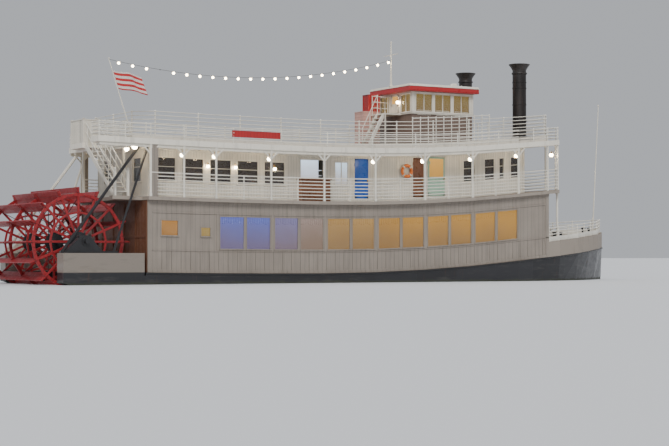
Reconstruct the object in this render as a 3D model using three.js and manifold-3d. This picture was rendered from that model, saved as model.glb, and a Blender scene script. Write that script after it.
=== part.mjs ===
// Sternwheel paddle steamer with two passenger decks, in millimetres.
// +X is forward, +Y is port and +Z is up. The origin is on the flat bottom, in the middle of the length.
// Heights in the tables are those amidships: the sheer then lifts every deck, wall and rail towards both ends.
import * as THREE from 'three';
import { mergeVertices } from 'three/addons/utils/BufferGeometryUtils.js';
import Module from 'manifold-3d';

const wasm = await Module();
wasm.setup();

// Driving dimensions
const GAP = 0.3;                 // left between two pieces that touch
const WATERLINE = 1200;          // draught, from the flat bottom
const FRAME = 2820;              // spacing of the posts and of the breaks in the sheer
const SIDE = 4200;               // half of the hull's beam
const EDGE = 4250;               // half of the decks' breadth
const CABIN_SIDE = 3000;         // outside of the upper cabin
const SUN_SIDE = 3050;           // half of the raised sun deck's breadth
const WALL = 60;                 // every cabin wall and door
const DECK_THICK = 160;

const MAIN_DECK = WATERLINE + 450;
const FOREDECK = WATERLINE + 1230;
const PROMENADE = WATERLINE + 3840;
const EAVE = WATERLINE + 6150;
const EAVE_TOP = WATERLINE + 6400;
const SUN_DECK = WATERLINE + 6680;

const BOW = 17040;
const FRONT_WALL = 10500;
const AFT_WALL = -11740;
const TRANSOM = -11900;
const PORCH_AFT = -12700;
const CABIN_AFT = -11280;
const CABIN_FRONT = 9700;
const HURRICANE_AFT = -14180;
const DECK_FRONT = 11660;
const SUN_AFT = -11800;

const WHEEL = { x: -14620, z: WATERLINE + 1900, radius: 2420, half: 3050, buckets: 16, shaft: 90 };

// Sheer: a parabola towards each end, straight between two frames
function sheerCurve(x) {
  const metres = (x + 3000) / 1000;
  if (metres < 0) return 1.1 * metres * metres;
  if (metres < 12) return 4.4 * metres * metres;
  return 4.4 * 144 + 90 * (metres - 12);
}

function sheer(x) {
  const low = Math.floor(x / FRAME) * FRAME;
  const share = (x - low) / FRAME;
  return sheerCurve(low) * (1 - share) + sheerCurve(low + FRAME) * share;
}

const FRAMES = Array.from({ length: 13 }, (_, index) => (index - 6) * FRAME);

// Solids and their joins
function welded(geometry) {
  const bare = geometry.clone();
  for (const name of Object.keys(bare.attributes)) {
    if (name !== 'position') bare.deleteAttribute(name);
  }
  return mergeVertices(bare, 0.02);
}

function toSolid(geometry) {
  const bare = welded(geometry);
  const mesh = new wasm.Mesh({
    numProp: 3,
    vertProperties: new Float32Array(bare.attributes.position.array),
    triVerts: new Uint32Array(bare.index.array),
  });
  return new wasm.Manifold(mesh);
}

function fromSolid(solid) {
  const mesh = solid.getMesh();
  const geometry = new THREE.BufferGeometry();
  geometry.setAttribute('position', new THREE.BufferAttribute(new Float32Array(mesh.vertProperties), 3));
  geometry.setIndex(new THREE.BufferAttribute(new Uint32Array(mesh.triVerts), 1));
  return geometry;
}

function joined(pieces) {
  return fromSolid(pieces.map(toSolid).reduce((whole, piece) => whole.add(piece)));
}

function cut(base, tools) {
  return fromSolid(tools.map(toSolid).reduce((whole, tool) => whole.subtract(tool), toSolid(base)));
}

// A box between two corners
function box(x0, x1, y0, y1, z0, z1) {
  const shape = new THREE.BoxGeometry(x1 - x0, y1 - y0, z1 - z0);
  return shape.translate((x0 + x1) / 2, (y0 + y1) / 2, (z0 + z1) / 2);
}

function prism(points, depth) {
  const shape = new THREE.Shape(points.map(([a, b]) => new THREE.Vector2(a, b)));
  return new THREE.ExtrudeGeometry(shape, { depth, bevelEnabled: false });
}

// An outline given its depth, with holes right through it
function extruded(points, holes, depth) {
  const past = 10;
  const plate = prism(points, depth);
  return holes.length ? cut(plate, holes.map((hole) => prism(hole, depth + 2 * past).translate(0, 0, -past))) : plate;
}

// A plate drawn in x and z, between two places in y
function sidePlate(points, holes, y0, y1) {
  return extruded(points, holes, y1 - y0).rotateX(Math.PI / 2).translate(0, y1, 0);
}

// A plate drawn in y and z, between two places in x
function crossPlate(points, holes, x0, x1) {
  const turn = new THREE.Matrix4().makeBasis(
    new THREE.Vector3(0, 1, 0), new THREE.Vector3(0, 0, 1), new THREE.Vector3(1, 0, 0));
  return extruded(points, holes, x1 - x0).applyMatrix4(turn).translate(x0, 0, 0);
}

// A slab drawn in plan
function slab(points, holes, z0, z1) {
  return extruded(points, holes, z1 - z0).translate(0, 0, z0);
}

function rectangle(a0, a1, b0, b1) {
  return [[a0, b0], [a1, b0], [a1, b1], [a0, b1]];
}

// A round rod between two points
function rod(from, to, radius, sides = 8) {
  const start = new THREE.Vector3(...from);
  const along = new THREE.Vector3(...to).sub(start);
  const shape = new THREE.CylinderGeometry(radius, radius, along.length(), sides);
  const turn = new THREE.Quaternion().setFromUnitVectors(new THREE.Vector3(0, 1, 0), along.clone().normalize());
  return shape.applyQuaternion(turn).translate(...start.addScaledVector(along, 0.5).toArray());
}

function turned(profile, sides) {
  const points = profile.map(([radius, height]) => new THREE.Vector2(radius, height));
  return new THREE.LatheGeometry(points, sides).rotateX(Math.PI / 2);
}

// Cuts a mesh at the frames, so that it can follow the sheer
function crossing(a, b, x) {
  const [low, high] = a.x < b.x ? [a, b] : [b, a];
  const share = (x - low.x) / (high.x - low.x);
  return new THREE.Vector3(x, low.y + (high.y - low.y) * share, low.z + (high.z - low.z) * share);
}

function splitTriangle(triangle, x) {
  const sides = triangle.map((corner) => (Math.abs(corner.x - x) < 0.01 ? 0 : Math.sign(corner.x - x)));
  if (!sides.includes(1) || !sides.includes(-1)) return [triangle];
  const behind = [];
  const ahead = [];
  triangle.forEach((corner, index) => {
    const next = (index + 1) % 3;
    if (sides[index] <= 0) behind.push(corner);
    if (sides[index] >= 0) ahead.push(corner);
    if (sides[index] * sides[next] < 0) {
      const point = crossing(corner, triangle[next], x);
      behind.push(point);
      ahead.push(point);
    }
  });
  return [behind, ahead].flatMap((ring) => ring.slice(2).map((corner, index) => [ring[0], ring[index + 1], corner]));
}

function splitAtFrames(geometry) {
  const flat = geometry.index ? geometry.toNonIndexed() : geometry;
  const place = flat.attributes.position;
  let triangles = [];
  for (let index = 0; index < place.count; index += 3) {
    triangles.push([0, 1, 2].map((corner) => new THREE.Vector3().fromBufferAttribute(place, index + corner)));
  }
  for (const x of FRAMES) triangles = triangles.flatMap((triangle) => splitTriangle(triangle, x));
  const split = new THREE.BufferGeometry();
  split.setFromPoints(triangles.flat());
  return split;
}

function lifted(geometry, liftAt) {
  const split = splitAtFrames(geometry);
  const place = split.attributes.position;
  for (let index = 0; index < place.count; index += 1) {
    place.setZ(index, place.getZ(index) + liftAt(place.getX(index), place.getZ(index)));
  }
  return welded(split);
}

// A piece that follows the sheer all through
const sheered = (geometry) => lifted(geometry, (x) => sheer(x));

// A piece whose foot follows the deck while the rest stays square
const standing = (geometry, middle, foot) => lifted(geometry, (x, z) => (z < foot + 1 ? sheer(x) : sheer(middle)));

// The same for an outline drawn along the boat and in height: it gets a corner at each frame that it crosses.
// On a run that isn't straight fore and aft, start is the x of its first point and slope the x made per length.
function follow(points, start = 0, slope = 1) {
  const broken = points.flatMap(([a, z0], index) => {
    const [b, z1] = points[(index + 1) % points.length];
    const breaks = slope === 0 ? [] : FRAMES.map((x) => (x - start) / slope)
      .filter((along) => (along - a) * (along - b) < 0 && Math.min(Math.abs(along - a), Math.abs(along - b)) > 1)
      .sort((p, q) => (p - q) * Math.sign(b - a));
    return [[a, z0], ...breaks.map((along) => [along, z0 + ((z1 - z0) * (along - a)) / (b - a)])];
  });
  return broken.map(([along, z]) => [along, z + sheer(start + along * slope)]);
}

// A deck: its plan, between two heights that follow the sheer
function deckSlab(points, holes, z0, z1) {
  const ends = points.map(([x]) => x);
  const breadth = Math.max(...points.map(([, y]) => y)) + 10;
  const profile = follow(rectangle(Math.min(...ends), Math.max(...ends), z0, z1));
  const bent = sidePlate(profile, [], -breadth, breadth);
  const height = z1 + 3000;
  return fromSolid(toSolid(bent).intersect(toSolid(slab(points, holes, z0 - 10, height))));
}

// A hole with level edges in a wall that follows the sheer
function levelHole(x0, x1, z0, z1) {
  return [[x0, z0 - sheer(x0)], [x1, z0 - sheer(x1)], [x1, z1 - sheer(x1)], [x0, z1 - sheer(x0)]];
}

// A solid through rings of the same number of points
function loft(rings) {
  const count = rings[0].length;
  const places = rings.flat(2);
  const faces = [];
  for (let ring = 0; ring < rings.length - 1; ring += 1) {
    for (let side = 0; side < count; side += 1) {
      const a = ring * count + side;
      const b = ring * count + ((side + 1) % count);
      faces.push(a, b, a + count, b, b + count, a + count);
    }
  }
  const last = (rings.length - 1) * count;
  for (let side = 1; side < count - 1; side += 1) {
    faces.push(0, side + 1, side, last, last + side, last + side + 1);
  }
  const geometry = new THREE.BufferGeometry();
  geometry.setAttribute('position', new THREE.Float32BufferAttribute(places, 3));
  geometry.setIndex(faces);
  return geometry;
}

// Colours of the real finishes
const FINISHES = {
  black: [0x15161a, 0.5, 0.0],
  white: [0xe9e4d8, 0.45, 0.0],
  red: [0xa5161b, 0.45, 0.0],
  soot: [0x1b1a1a, 0.6, 0.2],
  wood: [0x7a4a28, 0.6, 0.0],
  blue: [0x3350a0, 0.5, 0.0],
  green: [0xa9c9b4, 0.5, 0.0],
  deck: [0x8a8478, 0.8, 0.0],
  steel: [0x6e7276, 0.5, 0.6],
  cloth: [0xc23a35, 0.9, 0.0],
};

const group = new THREE.Group();

function add(name, geometry, finish) {
  const [color, roughness, metalness] = FINISHES[finish];
  const bare = welded(geometry);
  bare.computeVertexNormals();
  const mesh = new THREE.Mesh(bare, new THREE.MeshStandardMaterial({ color, roughness, metalness }));
  mesh.name = name;
  group.add(mesh);
  return mesh;
}

// Each side's name, with the sign of its y
const SIDES = [['starboard', -1], ['port', 1]];

// A wall on one side, its outside at half the breadth
function sideWall(points, holes, half, side) {
  return side < 0 ? sidePlate(points, holes, -half, -half + WALL) : sidePlate(points, holes, half - WALL, half);
}

const sheeredWall = (points, holes, half, side) => sideWall(follow(points), holes.map((hole) => follow(hole)), half,
  side);

// Hull

// Half-breadth of the deck edge at a few places along the bow
const BOW_PLAN = [[8460, 4200], [11280, 3920], [12900, 3400], [14100, 2800], [15300, 2020], [16300, 1120],
  [16920, 340], [BOW, 60]];

function halfBeam(x) {
  if (x <= BOW_PLAN[0][0]) return SIDE;
  const next = BOW_PLAN.findIndex(([place]) => place >= x);
  const [x0, y0] = BOW_PLAN[next - 1];
  const [x1, y1] = BOW_PLAN[next];
  return y0 + ((y1 - y0) * (x - x0)) / (x1 - x0);
}

// Stations of the hull: place, share of the deck's half-breadth at the bottom, height of the bottom, of the chine
const STATIONS = [
  [TRANSOM, 0.97, 950, 1250],
  [-11280, 0.97, 950, 1250],
  [-10300, 0.97, 950, 1200],
  [-8460, 0.96, 150, 600],
  [-7600, 0.95, 0, 500],
  [-5640, 0.95, 0, 450],
  [-2820, 0.95, 0, 450],
  [0, 0.95, 0, 450],
  [2820, 0.95, 0, 450],
  [5640, 0.95, 0, 450],
  [8460, 0.94, 0, 480],
  [11280, 0.86, 0, 560],
  [12900, 0.76, 60, 700],
  [14100, 0.66, 150, 850],
  [15300, 0.54, 300, 1050],
  [16300, 0.45, 520, 1300],
  [16920, 0.5, 800, 1500],
  [BOW, 0.9, 950, 1600],
];

function hullRing([x, bottomShare, bottom, chine]) {
  const top = MAIN_DECK + sheer(x);
  const half = halfBeam(x);
  const low = half * bottomShare;
  const bulge = half * (1 + bottomShare) / 2 + half * 0.01;
  return [[x, -half, top], [x, -bulge, chine], [x, -low, bottom], [x, low, bottom], [x, bulge, chine],
    [x, half, top]];
}

// The two horns behind the transom carry the wheel
const HORN = { y0: 3420, y1: 4190, aft: -15750, top: WATERLINE + 1400 };

function horn(side) {
  const points = [[HORN.aft, WATERLINE + 100], [HORN.aft, HORN.top], [TRANSOM - 60, HORN.top],
    [TRANSOM - 60, 1600], [-10900, 1500], [-10900, 1300], [-13400, 1000], [-14700, 1000]];
  return side < 0 ? sidePlate(points, [], -HORN.y1, -HORN.y0) : sidePlate(points, [], HORN.y0, HORN.y1);
}

// Rudders hang under the raked stern, their stocks in bores of the hull
const RUDDER = { x: -11000, low: 120, high: 900, aft: 850, fore: 350, y: 2500, stock: 60, depth: 300 };
const RUNNING = 0.7;
const rudderBores = [0, -RUDDER.y, RUDDER.y].map((y) => rod([RUDDER.x, y, RUDDER.high], [RUDDER.x, y,
  RUDDER.high + RUDDER.depth + 6], (RUDDER.stock + RUNNING) / Math.cos(Math.PI / 12), 12));
add('hull', cut(joined([loft(STATIONS.map(hullRing)), horn(-1), horn(1)]), rudderBores), 'black');

// The white upper bow, with the raised foredeck on it
const FOREDECK_AFT = FRONT_WALL + 2 * GAP;
const plan = [[FOREDECK_AFT, halfBeam(FOREDECK_AFT)], ...BOW_PLAN.filter(([x]) => x > FOREDECK_AFT)];
const bowOutline = [...plan.map(([x, y]) => [x, -y]), ...plan.map(([x, y]) => [x, y]).reverse()];
add('upper_bow', deckSlab(bowOutline, [], MAIN_DECK + GAP, FOREDECK), 'white');

// Main deck house

// The engine and its gear, in the after compartment
add('engine', box(-9900, -7300, -900, 900, MAIN_DECK + sheer(-9900) + GAP, MAIN_DECK + 1500), 'steel');

const MAIN_TOP = PROMENADE - DECK_THICK - GAP;
const MAIN_FOOT = MAIN_DECK + GAP;
const WINDOW = { width: 1235, mullion: 125, shift: 180, low: WATERLINE + 1560, high: WATERLINE + 3030 };

// Six pairs of large windows, a pair to each frame, and two small ones aft
function mainWindows() {
  const holes = [];
  for (let bay = -3; bay < 3; bay += 1) {
    const middle = (bay + 0.5) * FRAME + WINDOW.shift;
    for (const shift of [-1, 1]) {
      const centre = middle + (shift * (WINDOW.width + WINDOW.mullion)) / 2;
      holes.push(rectangle(centre - WINDOW.width / 2, centre + WINDOW.width / 2, WINDOW.low, WINDOW.high));
    }
  }
  holes.push(rectangle(-11080, -10250, WATERLINE + 2120, WATERLINE + 2800));
  holes.push(rectangle(-9120, -8640, WATERLINE + 2120, WATERLINE + 2520));
  return holes;
}

const MAIN_HALF = halfBeam(FRONT_WALL) - 10;
const mainOutline = rectangle(AFT_WALL, FRONT_WALL - WALL - GAP, MAIN_FOOT, MAIN_TOP);
for (const [name, side] of SIDES) {
  add(`main_wall_${name}`, sheeredWall(mainOutline, mainWindows(), MAIN_HALF, side), 'white');
}

// Front wall, with its door on the centreline and a window each side
const FRONT_DOOR = { half: 450, low: FOREDECK + sheer(FRONT_WALL) + 120, height: 1850 };
const frontLift = sheer(FRONT_WALL - WALL);
const frontHoles = [
  rectangle(-FRONT_DOOR.half, FRONT_DOOR.half, FRONT_DOOR.low - frontLift,
    FRONT_DOOR.low + FRONT_DOOR.height - frontLift),
  ...[-1, 1].map((side) => rectangle(side * 2100 - 700, side * 2100 + 700, FOREDECK + 600, FOREDECK + 1600)),
];
add('main_wall_front', sheered(crossPlate(rectangle(-MAIN_HALF, MAIN_HALF, MAIN_FOOT, MAIN_TOP), frontHoles,
  FRONT_WALL - WALL, FRONT_WALL)), 'white');

// Aft wall between the side walls
const AFT_HALF = MAIN_HALF - WALL - GAP;
add('main_wall_aft', sheered(crossPlate(rectangle(-AFT_HALF, AFT_HALF, MAIN_FOOT, MAIN_TOP), [],
  AFT_WALL, AFT_WALL + WALL)), 'wood');

// Decks

// Plan of a deck's rounded front, from its straight side to the centreline's straight front
const FRONT_CURVE = [[8460, 0], [10400, 60], [11200, 260], [11560, 900], [DECK_FRONT, 1900]];

function deckPlan(aft, half) {
  const corner = FRONT_CURVE.map(([x, inset]) => [x, half - inset]);
  const starboard = [[aft, -half], ...corner.map(([x, y]) => [x, -y])];
  return [...starboard, ...[...corner].reverse(), [aft, half]];
}

// The promenade is narrower behind the house, between the braces of the wheel
const PORCH_HALF = 3550;
const WHEEL_SIDE = -3150;        // the wheel turns inboard of this
// Stair across the stern, from a step outside the wheel up to the deck above. It rises to port.
const STAIR = { x0: -13100, x1: -12400, foot: -3480, head: 100, steps: 12 };
const porch = [[AFT_WALL - 50, PORCH_HALF], [PORCH_AFT, PORCH_HALF], [PORCH_AFT, WHEEL_SIDE],
  [STAIR.x0 - 120, WHEEL_SIDE], [STAIR.x0 - 120, -PORCH_HALF], [AFT_WALL - 50, -PORCH_HALF]];
add('promenade_deck', deckSlab([...deckPlan(AFT_WALL - 50, EDGE), ...porch], [], PROMENADE - DECK_THICK, PROMENADE),
  'deck');
// The deck above is laid in two parts, which meet over the after wall of the cabin. The after part has a gallery
// outboard of the stair, and a landing where the stair comes up.
const GALLERY = { aft: HURRICANE_AFT, inner: -3330 };
const HEAD_LANDING = { aft: STAIR.x0 - 120, port: 1700 };
const DECK_AFT = -12300;
const afterPlan = [[GALLERY.aft, -EDGE], [CABIN_AFT - GAP, -EDGE], [CABIN_AFT - GAP, EDGE], [DECK_AFT, EDGE],
  [DECK_AFT, HEAD_LANDING.port], [HEAD_LANDING.aft, HEAD_LANDING.port], [HEAD_LANDING.aft, STAIR.head],
  [STAIR.x1, STAIR.head], [STAIR.x1, GALLERY.inner], [GALLERY.aft, GALLERY.inner]];
add('hurricane_deck', deckSlab(deckPlan(CABIN_AFT, EDGE), [], EAVE, EAVE_TOP), 'white');
add('hurricane_deck_aft', deckSlab(afterPlan, [], EAVE, EAVE_TOP), 'white');

// The raised sun deck has cut corners aft
const SUN_CORNER = 800;
const sunFront = [[8460, SUN_SIDE], [11050, SUN_SIDE], [11450, SUN_SIDE - 400]];
const sunPlan = [[SUN_AFT, SUN_SIDE - SUN_CORNER], [SUN_AFT + SUN_CORNER, SUN_SIDE], ...sunFront];
add('sun_deck', deckSlab([...sunPlan.map(([x, y]) => [x, -y]), ...[...sunPlan].reverse()], [], EAVE_TOP + GAP,
  SUN_DECK), 'white');

// Upper cabin
const CABIN_FOOT = PROMENADE + GAP;
const CABIN_TOP = EAVE - GAP;
const DOOR_HEIGHT = 1950;
const SILL = 140;

// Doors of the upper cabin: name, after edge, forward edge, finish
const CABIN_DOORS = [
  ['bar_door', -450, 320, 'blue'],
  ['service_door', 2900, 3520, 'wood'],
  ['saloon_door', 3770, 4780, 'green'],
];

// A door's sill clears the deck at its forward, higher edge
function doorLow(forward) {
  return PROMENADE + SILL + sheer(forward);
}

function cabinHoles() {
  const holes = [];
  for (let index = 0; index < 5; index += 1) {
    const centre = -10480 + index * FRAME / 2;
    holes.push(rectangle(centre - 540, centre + 540, WATERLINE + 4600, WATERLINE + 5680));
  }
  holes.push(rectangle(-3450, -2180, WATERLINE + 4900, WATERLINE + 5850));
  holes.push(rectangle(-1550, -840, WATERLINE + 4700, WATERLINE + 5750));
  for (const [, x0, x1] of CABIN_DOORS) {
    holes.push(levelHole(x0, x1, doorLow(x1), doorLow(x1) + DOOR_HEIGHT));
  }
  for (const [x0, x1] of [[5900, 6600], [7200, 7810], [8110, 8400], [8820, 9320]]) {
    holes.push(rectangle(x0, x1, WATERLINE + 4650, WATERLINE + 5700));
  }
  return holes;
}

const cabinOutline = rectangle(CABIN_AFT + WALL + GAP, CABIN_FRONT - WALL - GAP, CABIN_FOOT, CABIN_TOP);
for (const [name, side] of SIDES) {
  add(`cabin_wall_${name}`, sheeredWall(cabinOutline, cabinHoles(), CABIN_SIDE, side), 'white');
}
const cabinEnd = rectangle(-CABIN_SIDE, CABIN_SIDE, CABIN_FOOT, CABIN_TOP);
const frontWindows = [-2000, -700, 700, 2000].map((y) => rectangle(y - 500, y + 500, WATERLINE + 4650,
  WATERLINE + 5700));
add('cabin_wall_front', sheered(crossPlate(cabinEnd, frontWindows, CABIN_FRONT - WALL, CABIN_FRONT)), 'white');
const aftWindows = [-1700, 1700].map((y) => rectangle(y - 500, y + 500, WATERLINE + 4600, WATERLINE + 5680));
add('cabin_wall_aft', sheered(crossPlate(cabinEnd, aftWindows, CABIN_AFT, CABIN_AFT + WALL)), 'white');

// The serving counter stands on the starboard side deck
add('bar_counter', sheered(box(-3600, -2050, -CABIN_SIDE - 420, -CABIN_SIDE - GAP, CABIN_FOOT, PROMENADE + 1050)),
  'wood');

// Doors, level and square, with a running gap all round; each swings out on two hinges
const DOOR_GAP = 8;
const HINGE = { radius: 14, out: 14 + GAP, back: 20, proud: 4, strap: 150, half: 70 };

// A leaf from its hinge axis along +X, with the room behind it on the side of the sign
function doorLeaf(width, height, sign) {
  const across = (near, far) => [near * sign, far * sign].sort((a, b) => a - b);
  const face = HINGE.out - HINGE.proud;
  const pieces = [box(HINGE.back, HINGE.back + width, ...across(face, face + WALL), 0, height)];
  for (const z of [height * 0.15, height * 0.85]) {
    pieces.push(box(0, HINGE.strap, ...across(-6, HINGE.radius - GAP), z - HINGE.half, z + HINGE.half));
    pieces.push(rod([0, 0, z - HINGE.half], [0, 0, z + HINGE.half], HINGE.radius, 12));
  }
  return joined(pieces);
}

function addDoor(name, leaf, turn, place, finish) {
  const door = add(name, leaf, finish);
  door.rotation.z = turn;
  door.position.set(...place);
}

for (const [name, side] of SIDES) {
  for (const [door, x0, x1, finish] of CABIN_DOORS) {
    const leaf = doorLeaf(x1 - x0 - 2 * DOOR_GAP, DOOR_HEIGHT - 2 * DOOR_GAP, -side);
    const place = [x0 + DOOR_GAP - HINGE.back, side * (CABIN_SIDE + HINGE.out), doorLow(x1) + DOOR_GAP];
    addDoor(`${door}_${name}`, leaf, 0, place, finish);
  }
}
addDoor('front_door', doorLeaf(2 * (FRONT_DOOR.half - DOOR_GAP), FRONT_DOOR.height - 2 * DOOR_GAP, 1), Math.PI / 2,
  [FRONT_WALL + HINGE.out, -FRONT_DOOR.half + DOOR_GAP - HINGE.back, FRONT_DOOR.low + DOOR_GAP], 'white');

// Railings: flat frames of posts and bars, joined at their corners
const RAIL_THICK = 40;
const CROSS_LIFT = 2;            // keeps a run across the sheer clear of the deck over its own thickness

// One straight run between two points in plan, with openings between its posts and bars. A run whose end is open
// stops in the first post of the next one.
function railRun([x0, y0], [x1, y1], foot, levels, bays, post, open = true) {
  const length = Math.hypot(x1 - x0, y1 - y0);
  const slope = (x1 - x0) / length;
  const bar = 40;
  const lift = Math.abs(slope) > 0.999 ? 0 : CROSS_LIFT;
  const holes = [];
  for (let bay = 0; bay < bays.length - 1; bay += 1) {
    const last = open && bay === bays.length - 2;
    const end = last ? length + post : bays[bay + 1] * length - post / 2;
    for (let level = 0; level < levels.length - 1; level += 1) {
      holes.push(rectangle(bays[bay] * length + post / 2, end, foot + levels[level] + bar / 2,
        foot + levels[level + 1] - bar / 2));
    }
  }
  const low = foot + levels[0] - bar / 2;
  const high = foot + levels[levels.length - 1] + bar / 2;
  const bent = (points) => follow(points.map(([along, z]) => [along, z + lift]), x0, slope);
  const frame = sidePlate(bent(rectangle(-post / 2, length + (open ? 0 : post / 2), low, high)), holes.map(bent),
    -RAIL_THICK / 2, RAIL_THICK / 2);
  return frame.rotateZ(Math.atan2(y1 - y0, x1 - x0)).translate(x0, y0, 0);
}

const evenBays = (count) => Array.from({ length: count + 1 }, (_, index) => index / count);

// Posts at given places along a run, as shares of its length
function postShares(places, from, to) {
  return places.map((place) => (place - from) / (to - from));
}

// Side rails of the promenade, whose posts carry the deck above
const PROMENADE_POSTS = [AFT_WALL + 60, -10060, -8460, -5640, -2820, 0, 2820, 5640, 8460];
const TOP_BEAM = EAVE - PROMENADE - 20 - GAP - 2 * CROSS_LIFT;
const PROMENADE_LEVELS = [20 + GAP, 540, 1070, TOP_BEAM];
const RAIL_INSET = 60;
const CORNER_PANEL = 360;        // closed panel at the after end of each side

for (const [name, side] of SIDES) {
  const y = side * (EDGE - RAIL_INSET);
  const from = PROMENADE_POSTS[0];
  const to = PROMENADE_POSTS[PROMENADE_POSTS.length - 1];
  const runs = [railRun([from, y], [to, y], PROMENADE, PROMENADE_LEVELS, postShares(PROMENADE_POSTS, from, to), 70)];
  runs.push(sheered(box(from, from + CORNER_PANEL, y - RAIL_THICK / 2, y + RAIL_THICK / 2, PROMENADE + GAP,
    PROMENADE + TOP_BEAM + 20)));
  const corner = FRONT_CURVE.map(([x, inset]) => [x - (x > 9000 ? RAIL_INSET : 0), side * (EDGE - RAIL_INSET - inset)]);
  for (let index = 0; index < corner.length - 1; index += 1) {
    runs.push(railRun(corner[index], corner[index + 1], PROMENADE, PROMENADE_LEVELS, [0, 1], 70));
  }
  const middle = [DECK_FRONT - RAIL_INSET, side * 30];
  runs.push(railRun(corner[corner.length - 1], [middle[0], middle[1] + side * 40], PROMENADE, PROMENADE_LEVELS,
    [0, 1], 70, false));
  add(`promenade_rail_${name}`, joined(runs), 'white');
}

// Low rail along the eave
const EAVE_LEVELS = [20 + GAP, 350, 680];
const EAVE_POST = 50;
const STAIR_GAP = 850;           // the way from the stair's top step on to the deck
const eaveEnds = {
  starboard: [[STAIR.x1 + RAIL_INSET, STAIR.head - STAIR_GAP], [STAIR.x1 + RAIL_INSET, GALLERY.inner - RAIL_INSET],
    [GALLERY.aft + RAIL_INSET, GALLERY.inner - RAIL_INSET], [GALLERY.aft + RAIL_INSET, RAIL_INSET - EDGE]],
  port: [[DECK_AFT + RAIL_INSET, HEAD_LANDING.port + RAIL_INSET], [DECK_AFT + RAIL_INSET, EDGE - RAIL_INSET]],
};
for (const [name, side] of SIDES) {
  const y = side * (EDGE - RAIL_INSET);
  const ends = eaveEnds[name];
  const corner = FRONT_CURVE.map(([x, inset]) => [x - (x > 9000 ? RAIL_INSET : 0), side * (EDGE - RAIL_INSET - inset)]);
  const runs = [railRun([ends[ends.length - 1][0], y], [8460, y], EAVE_TOP, EAVE_LEVELS, evenBays(8), EAVE_POST)];
  for (let index = 0; index < ends.length - 1; index += 1) {
    runs.push(railRun(ends[index], ends[index + 1], EAVE_TOP, EAVE_LEVELS, [0, 1], EAVE_POST));
  }
  for (let index = 0; index < corner.length - 1; index += 1) {
    runs.push(railRun(corner[index], corner[index + 1], EAVE_TOP, EAVE_LEVELS, [0, 1], EAVE_POST));
  }
  const middle = [DECK_FRONT - RAIL_INSET, side * (EAVE_POST / 2 + GAP)];
  runs.push(railRun(corner[corner.length - 1], middle, EAVE_TOP, EAVE_LEVELS, [0, 1], EAVE_POST, false));
  add(`eave_rail_${name}`, joined(runs), 'white');
}

// Rail of the sun deck
const SUN_LEVELS = [20 + GAP, 540, 1070];
const sunCorners = sunPlan.map(([x, y]) => [x < 0 ? x + 60 : x - 60, y - 60]);
const sunRuns = SIDES.flatMap(([, side]) => sunCorners.slice(1).map((corner, index) => {
  const from = sunCorners[index];
  const bays = index === 1 ? evenBays(7) : [0, 1];
  return railRun([from[0], side * from[1]], [corner[0], side * corner[1]], SUN_DECK, SUN_LEVELS, bays, 50);
}));
for (const end of [sunCorners[0], sunCorners[sunCorners.length - 1]]) {
  sunRuns.push(railRun([end[0], -end[1]], [end[0], end[1]], SUN_DECK, SUN_LEVELS, evenBays(2), 50, false));
}
add('sun_deck_rail', joined(sunRuns), 'white');

// Rail of the foredeck
const FORE_LEVELS = [20 + GAP, 360, 700];
const forePlan = [[FRONT_WALL + 80, halfBeam(FRONT_WALL)], [12900, 3400], [15300, 2020], [16780, 420]]
  .map(([x, y]) => [x, y - 100]);
const foreRuns = SIDES.flatMap(([, side]) => forePlan.slice(1).map((corner, index) => {
  const from = forePlan[index];
  return railRun([from[0], side * from[1]], [corner[0], side * corner[1]], FOREDECK, FORE_LEVELS, [0, 1], 50);
}));
const stem = forePlan[forePlan.length - 1];
foreRuns.push(railRun([stem[0], -stem[1]], [stem[0], stem[1]], FOREDECK, FORE_LEVELS, [0, 1], 50, false));
add('foredeck_rail', joined(foreRuns), 'white');

// Stacks: a black tube with a ring below its flared cap
const STACK = { x: 9800, y: 2450, radius: 355, top: WATERLINE + 11200 };
for (const [name, side] of SIDES) {
  const foot = SUN_DECK + GAP;
  const height = STACK.top - foot - sheer(STACK.x);
  const wall = 12;
  const profile = [[0, 0], [STACK.radius, 0], [STACK.radius, height - 530], [STACK.radius + 45, height - 520],
    [STACK.radius + 45, height - 440], [STACK.radius, height - 430], [STACK.radius, height - 330],
    [550, height - 30], [535, height], [520, height - 20], [STACK.radius - wall, height - 300],
    [0, height - 300]];
  const stack = turned(profile, 14).translate(STACK.x, side * STACK.y, foot);
  add(`stack_${name}`, standing(stack, STACK.x, foot), 'soot');
}

// Pilothouse on its trunk
const PILOT = { x0: 3740, x1: 7470, half: 1600, roof: WATERLINE + 9590, foot: SUN_DECK + 1500 };
const pilotMiddle = FRAME * 2;
add('pilothouse_trunk', standing(box(PILOT.x0 + 30, PILOT.x1 - 30, -PILOT.half + 30, PILOT.half - 30, SUN_DECK + GAP,
  PILOT.foot), pilotMiddle, SUN_DECK + GAP), 'white');

const pilotFoot = PILOT.foot + sheer(pilotMiddle) + GAP;
const pilotTop = PILOT.roof - GAP;
const PILOT_WINDOWS = { low: WATERLINE + 8570, high: WATERLINE + 9480 };
const sideGlass = [0, 1, 2].map((index) => {
  const start = PILOT.x0 + 230 + index * 1140;
  return rectangle(start, start + 990, PILOT_WINDOWS.low, PILOT_WINDOWS.high);
});
const pilotSide = rectangle(PILOT.x0 + WALL + GAP, PILOT.x1 - WALL - GAP, pilotFoot, pilotTop);
for (const [name, side] of SIDES) {
  add(`pilothouse_wall_${name}`, sideWall(pilotSide, sideGlass, PILOT.half, side), 'white');
}
const pilotEnd = rectangle(-PILOT.half, PILOT.half, pilotFoot, pilotTop);
const frontGlass = [-1, 0, 1].map((place) => rectangle(place * 1020 - 450, place * 1020 + 450, PILOT_WINDOWS.low,
  PILOT_WINDOWS.high));
add('pilothouse_wall_front', crossPlate(pilotEnd, frontGlass, PILOT.x1 - WALL, PILOT.x1), 'white');
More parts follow.
